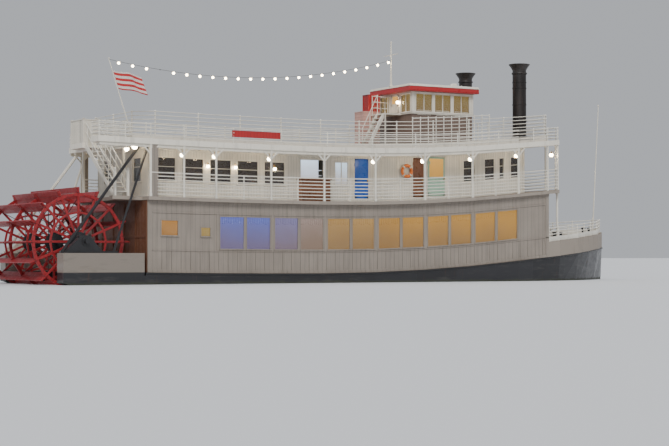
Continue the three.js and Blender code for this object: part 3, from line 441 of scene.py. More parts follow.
def sooty(name, colour):
    """Heat-dulled black paint, greyed by ash at the top and rusty where the rain runs"""
    look = Finish(name)
    cloud = look.band(look.noise(1.6, 5, (1, 1, 0.5)), 0.4, 0.75)
    shade = look.mix(cloud, colour, toned(colour, 2.6))
    rust = look.band(look.noise(2.2, 6, (5, 5, 0.3)), 0.58, 0.8, 0, 0.75)
    shade = look.mix(rust, shade, (0.09, 0.036, 0.018))
    ash = look.band(look.axis("Z"), 11.6, 12.6, 0, 0.45)
    shade = look.mix(look.math("MULTIPLY", ash, look.noise(6, 3)), shade, (0.16, 0.15, 0.14))
    look.bump(look.noise(18, 4), 0.002, 0.5)
    return look.set(Base_Color=shade, Roughness=look.band(look.noise(4, 4), 0.3, 0.7, 0.38, 0.62),
                    Metallic=0.25)


def glass(name):
    look = Finish(name)
    film = look.band(look.noise(3, 4, (1, 1, 0.4)), 0.4, 0.8, 0.02, 0.1)
    look.bump(look.noise(1.2, 1), 0.002, 0.15)
    return look.set(Base_Color=(0.93, 0.96, 0.95), Roughness=film, Transmission_Weight=0.97, IOR=1.22)


def lit_cloth(name, stops, strength, low, high):
    """Blinds that glow with painted light, standing in for lamps lit in the rooms behind: their colour changes along
    the boat, and the painted light is brightest high up, as near the lamps
    """
    look = Finish(name)
    ramp = look.node("ShaderNodeValToRGB", {0: look.band(look.axis("X"), -12, 12)})
    colour, ramp = ramp.outputs[0], ramp.color_ramp
    ramp.interpolation = "CONSTANT"
    for index, (x, tint) in enumerate(stops):
        element = ramp.elements[index] if index < 2 else ramp.elements.new(1)
        element.position = (x + 12) / 24
        element.color = (*tint, 1)
    weave = look.noise(160, 2, (1, 1, 0.3))
    # Painted light: a pool of glow, brighter towards the top and uneven along the boat
    cloud = look.math("MULTIPLY", look.band(look.noise(0.8, 3), 0.3, 0.7), 0.4)
    height = look.band(look.math("SUBTRACT", look.axis("Z"), cloud), low, high, 0.35, 1)
    shade = look.mix(look.band(weave, 0.3, 0.7, 0, 0.25), colour, (0.4, 0.3, 0.18))
    look.bump(weave, 0.0008, 0.4)
    # The cloth's own colour is kept nearly black, so that its painted glow alone shows
    return look.set(Base_Color=look.mix(0.92, shade, (0.02, 0.015, 0.01)), Roughness=0.8,
                    Emission_Color=look.mix(height, (0.25, 0.12, 0.04), shade), Emission_Strength=strength)


def lamp_glass(name, colour, strength):
    look = Finish(name)
    frost = look.noise(60, 2)
    warm = look.mix(look.band(frost, 0.3, 0.7, 0, 0.3), colour, toned(colour, 0.85))
    look.bump(frost, 0.0008, 0.3)
    return look.set(Base_Color=warm, Roughness=0.3, Emission_Color=warm, Emission_Strength=strength)


def woven(name, colour):
    """Cloth, faded in places; the near-black colour it is given is painted shade, for the unlit rooms behind the
    cabin's windows
    """
    look = Finish(name)
    warp = look.noise(240, 1, (1, 1, 0.08))
    weft = look.noise(240, 1, (0.08, 0.08, 1))
    weave = look.math("ADD", warp, weft)
    fade = look.band(look.noise(1.5, 4), 0.35, 0.7)
    shade = look.mix(look.band(weave, 0.7, 1.3, 0, 0.35), colour, toned(colour, 0.6))
    shade = look.mix(look.math("MULTIPLY", fade, 0.25), shade, toned(colour, 1.4))
    look.bump(weave, 0.0006, 0.5)
    return look.set(Base_Color=shade, Roughness=0.85, Sheen_Weight=0.4)


def bunting(name, colours):
    """Striped flag cloth, red and white across its own height"""
    look = Finish(name)
    uv = look.node("ShaderNodeTexCoord").outputs["UV"]
    rise = look.node("ShaderNodeSeparateXYZ", {0: uv}).outputs["Y"]
    stripe = look.math("PINGPONG", look.math("MULTIPLY", rise, 7), 1)
    stripe = look.band(stripe, 0.46, 0.54)
    weave = look.noise(300, 1)
    shade = look.mix(stripe, toned(colours.trim, 1.1), (0.72, 0.68, 0.62))
    shade = look.mix(look.band(weave, 0.35, 0.65, 0, 0.3), shade, toned(colours.trim, 0.5))
    look.bump(weave, 0.0006, 0.5)
    return look.set(Base_Color=shade, Roughness=0.8, Sheen_Weight=0.3)


def brass(name):
    look = Finish(name)
    stain = look.band(look.noise(8, 5), 0.45, 0.7)
    shade = look.mix(stain, (0.62, 0.42, 0.16), (0.24, 0.15, 0.06))
    look.bump(look.noise(40, 2), 0.0005, 0.3)
    return look.set(Base_Color=shade, Roughness=look.band(stain, 0, 1, 0.22, 0.5), Metallic=1.0)


# What shows where the red paint is rubbed through
RED_UNDER = (0.19, 0.09, 0.055)


def make_finish(name):
    colours = bpy.context.scene.steamer_colours
    # house is the main deck house's off-white darkened with painted shade; its boards, deck edges and casings carry
    # that shade
    house, cabin, deck = tuple(colours.house), tuple(colours.cabin), tuple(colours.deck)
    red, wheel, wood = tuple(colours.trim), tuple(colours.wheel), tuple(colours.wood)
    golden, cream, lilac = (0.9, 0.4, 0.002), (0.82, 0.42, 0.07), (0.13, 0.2, 0.95)
    cool, dusk = (0.62, 0.8, 1.0), (0.42, 0.27, 0.03)

    def paint(colour, **settings):
        return painted(name, colour, **settings)

    # Painted light: every lit blinds finish below glows, in place of lamps in the rooms behind
    def blinds(tint, glow, low, high):
        return lit_cloth(name, ((-12, tint), (12, tint)), colours.glow * glow, low, high)

    recipes = {
        "hull": lambda: hull_paint(name, colours),
        "side_boards": lambda: paint(house, boards=("X", 0.235), streaks=0.5),
        "end_boards": lambda: paint(house, boards=("Y", 0.235), streaks=0.5),
        "cabin_boards": lambda: paint(cabin, boards=("X", 0.141), streaks=0.25),
        "cabin_end_boards": lambda: paint(cabin, boards=("Y", 0.141), streaks=0.25),
        "trim_white": lambda: paint(cabin, rough=0.35, streaks=0.3, wear=0.5, under=(0.3, 0.27, 0.22)),
        "rail_white": lambda: paint(tuple(colours.rails), rough=0.32),
        "red_boards": lambda: paint(red, boards=("X", 0.16), wear=0.6, under=RED_UNDER),
        "red_trim": lambda: paint(red, rough=0.35, streaks=0.3, wear=0.6, under=RED_UNDER),
        "wheel_wood": lambda: paint(wheel, rough=0.45, streaks=0.4, wear=0.8, under=RED_UNDER, grain=True),
        "wheel_planks": lambda: paint(wheel, rough=0.5, streaks=0.3, wear=0.8, under=RED_UNDER, grain=True),
        "iron": lambda: paint((0.018, 0.018, 0.02), rough=0.4, wear=0.7, under=(0.12, 0.05, 0.025)),
        "stack": lambda: sooty(name, (0.012, 0.009, 0.008)),
        "promenade": lambda: decked(name, deck, house),
        "roof_deck": lambda: decked(name, toned(deck, 1.2), cabin),
        "bow_deck": lambda: decked(name, toned(deck, 0.9), house),
        "aft_boards": lambda: paint(toned(wood, 0.8), rough=0.5, boards=("Y", 0.15), grain=True),
        "counter_wood": lambda: paint(wood, rough=0.3, boards=("X", 0.11), grain=True),
        "blue": lambda: paint(tuple(colours.blue), rough=0.3, wear=0.6),
        "green": lambda: paint((0.36, 0.56, 0.42), rough=0.35, wear=0.6),
        "machine_grey": lambda: paint((0.2, 0.22, 0.23), rough=0.4, wear=0.6),
        # Painted shade: the pilothouse trunk's boards are darkened to the shade they stand in below its windows
        "shaded_trunk_boards": lambda: paint((0.2, 0.14, 0.11), boards=("X", 0.141), streaks=0.4),
        "pale_pink": lambda: paint((0.62, 0.36, 0.3), boards=("Z", 0.15), wear=0.5),
        "orange": lambda: paint((0.85, 0.2, 0.02), rough=0.5, streaks=0.3),
        "cable": lambda: paint((0.03, 0.028, 0.025), rough=0.5, streaks=0.1),
        "glass": lambda: glass(name),
        "brass": lambda: brass(name),
        "saloon_blinds": lambda: lit_cloth(name, (
            (-12, (0.95, 0.36, 0.002)), (-9.9, (0.95, 0.62, 0.12)), (-8.4, lilac), (-5.46, (0.3, 0.27, 0.68)),
            (-4.05, (0.55, 0.38, 0.34)), (-2.64, cream), (0.18, golden)), colours.glow * 0.56, 2.9, 4.1),
        "cabin_blinds": lambda: blinds(cream, 1, 5.8, 7.0),
        "cool_blinds": lambda: blinds(cool, 1.6, 5.8, 7.0),
        "bridge_blinds": lambda: blinds(dusk, 0.55, 9.4, 10.9),
        # Painted shade: near-black sheets behind the cabin's windows stand for the unlit rooms
        "shaded_room_blinds": lambda: woven(name, (0.035, 0.014, 0.013)),
        "lamp": lambda: lamp_glass(name, tuple(colours.lamp), 34.0),
        "string_bulb": lambda: lamp_glass(name, tuple(colours.lamp), 26.0),
        "flag": lambda: bunting(name, colours),
    }
    return recipes[name]()


def finish(name):
    return bpy.data.materials.get(name) or make_finish(name)


# Sizes and colours that a user would change

class SteamerSizes(bpy.types.PropertyGroup):
    rail_bar: FloatProperty(name="Rail bar", description="Radius of a rail's bars", default=0.023, unit="LENGTH")
    rail_post: FloatProperty(name="Rail post", description="Radius of a rail's posts", default=0.033,
                             unit="LENGTH")
    lamp: FloatProperty(name="Lamp globe", description="Radius of a lantern's globe", default=0.1, unit="LENGTH")
    bulb: FloatProperty(name="String bulb", description="Radius of a bulb on the light string", default=0.06,
                        unit="LENGTH")
    bulbs: IntProperty(name="String bulbs", description="Bulbs between flagstaff and mast", default=23)
    sag: FloatProperty(name="String sag", description="How far the light string hangs down", default=0.86,
                       unit="LENGTH")
    casing: FloatProperty(name="Window casing", description="Breadth of the casing round a window", default=0.035,
                          unit="LENGTH")


def colour_property(name, description, default):
    return FloatVectorProperty(name=name, description=description, default=default, subtype="COLOR", size=3, min=0,
                               max=1)


class SteamerColours(bpy.types.PropertyGroup):
    hull: colour_property("Hull", "Paint of the hull", (0.012, 0.012, 0.014))
    # Painted shade: the house's off-white paint is darkened to the shade it stood in, far below the cabin's cream
    house: colour_property("House", "Paint of the main deck house", (0.31, 0.265, 0.22))
    cabin: colour_property("Cabin", "Paint of the upper cabin and trim", (0.80, 0.75, 0.64))
    rails: colour_property("Rails", "Paint of the rails", (0.82, 0.78, 0.68))
    deck: colour_property("Decks", "Planks of the decks", (0.26, 0.2, 0.14))
    trim: colour_property("Red trim", "Paint of the roof's fascia and the boards", (0.46, 0.018, 0.02))
    wheel: colour_property("Wheel", "Paint of the paddle wheel", (0.34, 0.014, 0.018))
    wood: colour_property("Varnished wood", "Counter, service doors and stern wall", (0.23, 0.09, 0.04))
    blue: colour_property("Blue door", "Paint of the bar's door", (0.02, 0.11, 0.5))
    lamp: colour_property("Lamps", "Light of the lamps", (1.0, 0.82, 0.56))
    glow: FloatProperty(name="Window glow", description="Brightness of the lit blinds", default=1.1, min=0)


class PieceOperator:
    """What the operators share"""
    bl_options = {"REGISTER", "UNDO"}


class STEAMER_OT_stage(PieceOperator, bpy.types.Operator):
    """Floor at the waterline, soft light and the camera"""
    bl_idname = "steamer.stage"
    bl_label = "Stage, light and camera"

    def execute(self, context):
        scene = context.scene
        bm = bmesh.new()
        bmesh.ops.create_circle(bm, cap_ends=True, segments=96, radius=900, matrix=Matrix.Translation(up(WATER)))
        mesh = bpy.data.meshes.new("floor")
        bm.to_mesh(mesh)
        bm.free()
        floor = bpy.data.objects.new("floor", mesh)
        scene.collection.objects.link(floor)
        look = Finish("floor_paper")
        look.set(Base_Color=look.mix(look.noise(0.02, 2), (0.70, 0.71, 0.73), (0.73, 0.74, 0.76)), Roughness=0.9)
        mesh.materials.append(look.material)

        scene.world = bpy.data.worlds.new("studio")
        scene.world.use_nodes = True
        background = scene.world.node_tree.nodes["Background"]
        background.inputs["Color"].default_value = (*SKY_COLOUR, 1)
        background.inputs["Strength"].default_value = SKY_STRENGTH
        for name, direction, energy, softness in LIGHTS:
            light = bpy.data.lights.new(name, "SUN")
            light.energy = energy
            light.angle = softness
            holder = bpy.data.objects.new(name, light)
            holder.rotation_euler = Vector(direction).to_track_quat("Z", "Y").to_euler()
            scene.collection.objects.link(holder)

        lens = bpy.data.cameras.new("camera")
        lens.lens = CAMERA_LENS
        lens.sensor_width = 36
        lens.clip_end = 3000
        scene.camera = bpy.data.objects.new("camera", lens)
        scene.camera.location = CAMERA_PLACE
        scene.camera.rotation_euler = (math.radians(90 + CAMERA_TILT), 0, math.radians(CAMERA_YAW))
        scene.collection.objects.link(scene.camera)
        return {"FINISHED"}


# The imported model's own nodes that each finish shows on; the others are rails, in the rails' white
FINISH_NODES = {
    "hull": "hull", "bow_deck": "upper_bow", "machine_grey": "engine", "promenade": "promenade_deck",
    "side_boards": "main_wall_starboard main_wall_port", "end_boards": "main_wall_front",
    "aft_boards": "main_wall_aft",
    "roof_deck": "hurricane_deck hurricane_deck_aft sun_deck", "shaded_trunk_boards": "pilothouse_trunk",
    "cabin_boards": "cabin_wall_starboard cabin_wall_port",
    "cabin_end_boards": "cabin_wall_front cabin_wall_aft stern_bulwark",
    "counter_wood": "bar_counter service_door_starboard service_door_port",
    "blue": "bar_door_starboard bar_door_port", "green": "saloon_door_starboard saloon_door_port",
    "trim_white": "front_door pilothouse_wall_starboard pilothouse_wall_port pilothouse_wall_front "
                  "pilothouse_wall_aft pilothouse_door pilothouse_landing pilothouse_ladder mast "
                  "wheel_bearing_port stern_stair stern_post_starboard stern_post_port flagstaff jackstaff "
                  "capstan",
    "red_trim": "pilothouse_roof name_board", "red_boards": "deck_hut", "stack": "stack_starboard stack_port",
    "wheel_wood": "paddle_wheel",
    "iron": "wheel_shaft wheel_bearing_starboard rudder_middle rudder_starboard rudder_port",
}


class STEAMER_OT_finishes(PieceOperator, bpy.types.Operator):
    """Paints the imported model's own parts"""
    bl_idname = "steamer.finishes"
    bl_label = "Finishes of the frame"

    def execute(self, context):
        finish_of = {node: look for look, nodes in FINISH_NODES.items() for node in nodes.split()}
        for name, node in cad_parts.items():
            for slot in node.material_slots:
                slot.material = finish(finish_of.get(name, "rail_white"))
        return {"FINISHED"}


# Rails

def front_plan(inset, side):
    """The run of a deck's edge from its straight side round to the centreline"""
    return [(x - (inset if x > 9 else 0), side * (EDGE - inset - back)) for x, back in FRONT_CURVE]


def edge_plan(aft, inset, port_aft=None):
    """The whole edge of a deck, from the starboard quarter round the front to the port quarter"""
    starboard = [(aft, -(EDGE - inset)), *front_plan(inset, -1)]
    port = [(port_aft or aft, -(EDGE - inset)), *starboard[1:]]
    return starboard + [(x, -y) for x, y in reversed(port)]


def mirrored(plan):
    """A line of places carried on across the centreline and back along the port side"""
    return [*plan, *((x, -y) for x, y in reversed(plan))]


def at_level(plan, level):
    return [(x, y, level) for x, y in plan]


def rail(bm, plan, foot, levels, radius):
    """Bars one above the other along a line of places"""
    for level in levels:
        bar(bm, at_level(plan, foot + level), radius)


def eave_edge(inset):
    """The edge of the deck over the promenade, from the stair's gallery round to the landing at its head"""
    return [(GALLERY_AFT + inset, GALLERY_INNER - inset), *edge_plan(GALLERY_AFT + inset, inset, DECK_AFT + inset),
            (DECK_AFT + inset, 1.76)]


def stanchion(bm, place, foot, height, radius, levels, knob=1.75):
    """A round post with a ball where each bar passes through"""
    x, y = place
    disc(bm, (x, y, foot), (x, y, foot + height), radius, sides=10)
    disc(bm, (x, y, foot), (x, y, foot + 0.02), radius * 2.1, sides=10)
    for level in levels:
        ball(bm, (x, y, foot + level), radius * knob)


def spread(start, end, count):
    return [(start[0] + (end[0] - start[0]) * index / count, start[1] + (end[1] - start[1]) * index / count)
            for index in range(count + 1)]


# Where the posts of the promenade and of the eave's rail stand along each side
PROMENADE_POSTS = (-11.68, -10.06, -8.46, -5.64, -2.82, 0.0, 2.82, 5.64, 8.46)
EAVE_POSTS = (-11.68, -10.06, -7.59, -5.12, -2.65, -0.18, 2.29, 4.76, 7.23, 9.4)
FRONT_RAIL = 11.6


class STEAMER_OT_promenade_rails(PieceOperator, bpy.types.Operator):
    """Rails of the promenade, with the square posts that carry the deck above"""
    bl_idname = "steamer.promenade_rails"
    bl_label = "Promenade rails"

    def execute(self, context):
        sizes = context.scene.steamer_sizes
        *levels, top = [0.11 + 0.16 * index for index in range(7)]
        under = EAVE - 0.002
        for name, side in SIDES:
            bm = bmesh.new()
            y = side * (EDGE - RAIL_INSET)
            corners = front_plan(RAIL_INSET, side)
            front = (FRONT_RAIL, side * 0.07)
            plan = [(PROMENADE_POSTS[0], y), *corners, front]
            rail(bm, plan, PROMENADE, levels, sizes.rail_bar)
            strip(bm, at_level(plan, PROMENADE + top), 0.075, 0.045)
            for x in PROMENADE_POSTS:
                post(bm, (x, y), 0.04, 0.035, PROMENADE, under)
                post(bm, (x, y), 0.055, 0.045, PROMENADE, PROMENADE + 0.14)
                post(bm, (x, y), 0.055, 0.045, EAVE - 0.16, under)
                for way in (-1, 1):
                    beam(bm, (x + way * 0.03, y, EAVE - 0.4), (x + way * 0.38, y, EAVE - 0.04), 0.05, 0.06)
            for place in corners[1:]:
                post(bm, place, 0.035, 0.035, PROMENADE, under)
            stanchion(bm, front, PROMENADE, top, sizes.rail_post, levels)
            for low, high in zip(PROMENADE_POSTS[2:], PROMENADE_POSTS[3:]):
                stanchion(bm, ((low + high) / 2, y), PROMENADE, top, sizes.rail_post * 0.8, levels)
            follow_sheer(bm)
            finished(f"promenade_rail_bars_{name}", bm, "rail_white", stands_for=(f"promenade_rail_{name}",),
                     rounding=0.004, smooth=SMOOTH)

            bm = bmesh.new()
            wall = side_wall(side, EDGE - RAIL_INSET)
            box(bm, (-11.715, -0.02, PROMENADE), (-11.32, 0.02, under), wall)
            for low, high in ((PROMENADE + 0.1, PROMENADE + 1.02), (PROMENADE + 1.12, EAVE - 0.12)):
                box(bm, (-11.66, 0.02, low), (-11.375, 0.03, high), wall)
            follow_sheer(bm)
            finished(f"corner_panel_{name}", bm, "side_boards", rounding=0.004)
        return {"FINISHED"}


class STEAMER_OT_upper_rails(PieceOperator, bpy.types.Operator):
    """Low rail along the eave, rail of the sun deck and the balusters beside the pilothouse"""
    bl_idname = "steamer.upper_rails"
    bl_label = "Eave and sun deck rails"

    def execute(self, context):
        sizes = context.scene.steamer_sizes
        bm = bmesh.new()
        levels = (0.14, 0.3, 0.46, 0.64)
        head, landing = STAIR_X1 + RAIL_INSET, DECK_AFT + RAIL_INSET
        ends = [(head, -0.75), (head, GALLERY_INNER - RAIL_INSET)]
        plan = ends + eave_edge(RAIL_INSET)
        rail(bm, plan, EAVE_TOP, levels, sizes.rail_bar)
        places = []
        for side in (-1, 1):
            places += [(x, side * (EDGE - RAIL_INSET)) for x in EAVE_POSTS] + front_plan(RAIL_INSET, side)[1:]
        places += [*ends, (head, -2.07), *plan[2:4], (-12.9, -4.19), (landing, 4.19), (landing, 2.97),
                   (landing, 1.76), (FRONT_RAIL, 0)]
        for place in places:
            stanchion(bm, place, EAVE_TOP, 0.68, sizes.rail_post * 0.86, levels)
        follow_sheer(bm)
        finished("eave_rail_bars", bm, "rail_white", stands_for=("eave_rail_starboard", "eave_rail_port"),
                 smooth=SMOOTH)

        bm = bmesh.new()
        levels = [0.17 + 0.18 * index for index in range(6)]
        quarter = [(-11.74, -2.19), (-10.94, -2.99), (8.4, -2.99), (10.99, -2.99), (11.39, -2.59)]
        plan = mirrored(quarter)
        rail(bm, [*plan, plan[0]], SUN_DECK, levels, sizes.rail_bar * 0.85)
        between = spread(quarter[1], quarter[2], 9)[1:-1]
        for place in [*plan, *between, (-11.74, 0), (11.39, 0), *((x, -y) for x, y in between)]:
            stanchion(bm, place, SUN_DECK, 1.1, sizes.rail_post * 0.9, levels)
        follow_sheer(bm)
        finished("sun_rail_bars", bm, "rail_white", stands_for=("sun_deck_rail",), smooth=SMOOTH)

        bm = bmesh.new()
        for side in (-1, 1):
            y = side * (SUN_SIDE + 0.025)
            for index in range(11):
                x = 2.83 + 0.463 * index
                bar(bm, [(x, y, EAVE_TOP + 0.01), (x, y, SUN_DECK + 1.27)], 0.021)
                for level in (0.06, 0.42, 0.78, 1.15, 1.27):
                    ball(bm, (x, y, SUN_DECK + level), 0.036, 8, 6)
            bar(bm, [(2.83, y, SUN_DECK + 1.24), (7.46, y, SUN_DECK + 1.24)], 0.024)
        follow_sheer(bm)
        finished("pilothouse_balusters", bm, "rail_white", smooth=SMOOTH)
        return {"FINISHED"}


class STEAMER_OT_foredeck(PieceOperator, bpy.types.Operator):
    """Foredeck rail with its low plate, bollards and the capstan's drum"""
    bl_idname = "steamer.foredeck"
    bl_label = "Foredeck"

    def execute(self, context):
        sizes = context.scene.steamer_sizes
        bm = bmesh.new()
        quarter = [(10.6, -3.897), (12.9, -3.3), (15.3, -1.92), (16.78, -0.32)]
        plan = mirrored(quarter)
        strip(bm, at_level(plan, FOREDECK + 0.12), 0.035, 0.238)
        levels = (0.36, 0.52, 0.68)
        rail(bm, plan, FOREDECK, levels, sizes.rail_bar)
        places = []
        for start, end, count in zip(quarter, quarter[1:], (3, 3, 2)):
            places += spread(start, end, count)[:-1]
        for x, y in [*places, quarter[-1]]:
            for way in (-1, 1):
                stanchion(bm, (x, way * y), FOREDECK, 0.7, sizes.rail_post * 0.9, levels)
        follow_sheer(bm)
        finished("foredeck_rail_bars", bm, "rail_white", stands_for=("foredeck_rail",), rounding=0.003,
                 smooth=SMOOTH)

        bm = bmesh.new()
        bollard = ((0, -0.03), (0.13, -0.03), (0.13, 0.02), (0.085, 0.05), (0.085, 0.34), (0.12, 0.37),
                   (0.12, 0.41), (0, 0.43))
        for side in (-1, 1):
            for x, y in ((11.6, 3.3), (14.6, 1.9)):
                deck = FOREDECK + sheer(x)
                for shift in (-0.2, 0.2):
                    turned(bm, bollard, Matrix.Translation((x + shift, side * y, deck)), 20)
                post(bm, (x, side * y), 0.36, 0.15, deck - 0.04, deck + 0.03)
        finished("bollards", bm, "iron", rounding=0.006, smooth=math.radians(35))

        bm = bmesh.new()
        foot = Vector((12.3, -1.5, FOREDECK + sheer(12.3)))
        turned(bm, ((0, -0.03), (0.3, -0.03), (0.3, 0.03), (0.25, 0.08), (0.17, 0.14), (0.14, 0.26), (0.145, 0.4),
                    (0.2, 0.47), (0.24, 0.49), (0.24, 0.57), (0.2, 0.6), (0, 0.61)), Matrix.Translation(foot), 32)
        for angle, reach in compass(8):
            socket = Matrix.Translation(foot + up(0.53) + reach * 0.232) @ Matrix.Rotation(angle, 4, "Z")
            bmesh.ops.create_cube(bm, size=1, matrix=socket @ Matrix.Diagonal((0.03, 0.05, 0.05, 1)))
            rib = [foot + reach * across + up(height)
                   for across, height in ((0.27, 0.02), (0.18, 0.12), (0.155, 0.38))]
            strip(bm, rib, 0.03, 0.04)
        finished("capstan_drum", bm, "trim_white", stands_for=("capstan",), rounding=0.005,
                 smooth=math.radians(35), segments=2)
        return {"FINISHED"}


# Windows

def main_windows():
    """(low x, high x, low z, high z) of the main house's side windows, the large ones first"""
    middles = [(bay + 0.5) * FRAME + 0.18 + shift * 0.68 for bay in range(-3, 3) for shift in (-1, 1)]
    return [(middle - 0.6175, middle + 0.6175, 2.76, 4.23) for middle in middles] + [
        (-11.08, -10.25, 3.32, 4.0), (-9.12, -8.64, 3.32, 3.72)]


# (low x, high x, low z, high z)
GALLEY_WINDOW = (-1.55, -0.84, 5.9, 6.95)


def cabin_windows():
    found = [(-11.02 + 1.41 * index, -9.94 + 1.41 * index, 5.8, 6.88) for index in range(5)]
    return found + [(low, high, 5.85, 6.9) for low, high in ((5.9, 6.6), (7.2, 7.81), (8.11, 8.4), (8.82, 9.32))]


def casing(bm, wall, window, width, upright=None, level=None):
    """Jambs, head and a deeper sill, lapping the edge of the opening, and the bar between two panes"""
    u0, u1, w0, w1 = window
    lap, proud, back = 0.014, 0.022, -0.05
    box(bm, (u0 - width, back, w0), (u0 + lap, proud, w1), wall)
    box(bm, (u1 - lap, back, w0), (u1 + width, proud, w1), wall)
    box(bm, (u0 - width, back, w1 - lap), (u1 + width, proud + 0.008, w1 + width), wall)
    box(bm, (u0 - width, back, w0 - 0.05), (u1 + width, proud + 0.03, w0 + lap), wall)
    if upright:
        u = u0 + (u1 - u0) * upright
        box(bm, (u - 0.016, -0.045, w0), (u + 0.016, proud - 0.008, w1), wall)
    if level:
        w = w0 + (w1 - w0) * level
        box(bm, (u0, -0.045, w - 0.016), (u1, proud - 0.01, w + 0.016), wall)


def pane(bm, wall, window):
    u0, u1, w0, w1 = window
    box(bm, (u0 + 0.005, -0.032, w0 + 0.005), (u1 - 0.005, -0.026, w1 - 0.005), wall)


def blind(bm, wall, window):
    """A drawn blind with its head rail and bottom batten"""
    u0, u1, w0, w1 = window
    box(bm, (u0 - 0.03, -0.128, w0 - 0.03), (u1 + 0.03, -0.122, w1 + 0.02), wall)
    box(bm, (u0 - 0.04, -0.14, w1 + 0.02), (u1 + 0.04, -0.06, w1 + 0.07), wall)
    disc(bm, (u0 - 0.03, -0.125, w0 - 0.03), (u1 + 0.03, -0.125, w0 - 0.03), 0.012, sides=8, wall=wall)


def window_set(name, windows, wall, width, blinds, bend=True, casing_finish="trim_white", **bars):
    """The casings, panes and drawn blinds of one wall"""
    for part, finish_name, rounding, shape in (
            ("casings", casing_finish, 0.004, lambda *place: casing(*place, width, **bars)),
            ("panes", "glass", 0.0, pane), ("blinds", blinds, 0.0, blind)):
        bm = bmesh.new()
        for window in windows:
            shape(bm, wall, window)
        if bend:
            follow_sheer(bm)
        finished(f"{name}_{part}", bm, finish_name, rounding=rounding)


def valance(bm, wall, u0, u1, top):
    """A gathered strip of cloth with three scallops along its lower edge"""
    grid = bmesh.ops.create_grid(bm, x_segments=int((u1 - u0) / 0.018), y_segments=8, size=0.5, calc_uvs=True)
    for vert in grid["verts"]:
        share, fall = vert.co.x + 0.5, 0.5 - vert.co.y
        u = u0 + (u1 - u0) * share
        hang = VALANCE_DROP * (1 - 0.32 * (1 - abs(math.sin(math.pi * share * 3))))
        fold = 0.012 * (0.35 + 0.65 * fall) * math.sin(u * 63 + 1.7 * math.sin(u * 7))
        vert.co = wall @ Vector((u, fold - 0.075, top - hang * fall))


class STEAMER_OT_main_house(PieceOperator, bpy.types.Operator):
    """The main deck house's mouldings, battens, windows and valances"""
    bl_idname = "steamer.main_house"
    bl_label = "Main deck house"

    def execute(self, context):
        aft, fore = -11.74, 10.5
        frieze = (4.78, 4.875, 0.05)
        for name, side in SIDES:
            wall = side_wall(side, MAIN_SIDE)
            window_set(f"main_window_{name}", main_windows(), wall, context.scene.steamer_sizes.casing,
                       "saloon_blinds", casing_finish="side_boards")

            bm = bmesh.new()
            for rows in ((1.655, 1.79, 0.045), (2.63, 2.68, 0.03), (4.32, 4.39, 0.032), frieze):
                board(bm, wall, aft, fore, *rows)
            for index in range(47):
                batten(bm, wall, -11.5 + index * 0.47, 0.02, 1.79, 2.63, 0.014)
            for index in range(7):
                x = -8.28 + FRAME * index
                batten(bm, wall, x, 0.07, 2.68, 4.32, 0.026)
                box(bm, (x - 0.045, 0.026, 2.8), (x + 0.045, 0.036, 4.2), wall)
            board(bm, wall, aft, -11.52, 1.79, 4.78, 0.035)
            board(bm, wall, 10.28, fore, 1.79, 4.78, 0.03)
            follow_sheer(bm)
            finished(f"main_house_mouldings_{name}", bm, "side_boards", rounding=0.004)

            bm = bmesh.new()
            bm.loops.layers.uv.new("UVMap")
            for u0, u1, low, high in main_windows()[:12]:
                valance(bm, wall, u0 - 0.02, u1 + 0.02, high + 0.02)
            area = sum(face.calc_area() for face in bm.faces)
            follow_sheer(bm)
            # The valances take the saloon blinds' finish, so they glow with painted light too
            made = cloth(f"saloon_valance_{name}", bm, "saloon_blinds")

        front = end_wall(1, fore, sheer(10.47))
        windows = [(side * 2.1 - 0.7, side * 2.1 + 0.7, 3.03, 4.03) for side in (-1, 1)]
        window_set("front_window", windows, front, 0.06, "saloon_blinds", bend=False)
        bm = bmesh.new()
        for rows in ((2.45, 2.57, 0.04), frieze):
            for u0, u1 in ((-3.98, -0.52), (0.52, 3.98)):
                board(bm, front, u0, u1, *rows)
        for side in (-1, 1):
            board(bm, front, side * 3.98, side * 3.8, 2.57, 4.78, 0.03)
            box(bm, (side * 0.505, -0.02, 2.45), (side * 0.59, 0.028, 4.78), front)
        finished("front_mouldings", bm, "end_boards", rounding=0.004)

        bm = bmesh.new()
        wall = end_wall(-1, aft, sheer(-11.7))
        for index in range(-3, 4):
            batten(bm, wall, index * 1.3, 0.06, 1.67, 4.86, 0.03)
        for low in (1.67, 3.2, 4.76):
            board(bm, wall, -3.9, 3.9, low, low + 0.1, 0.024)
        finished("stern_wall_framing", bm, "aft_boards", rounding=0.004)
        return {"FINISHED"}


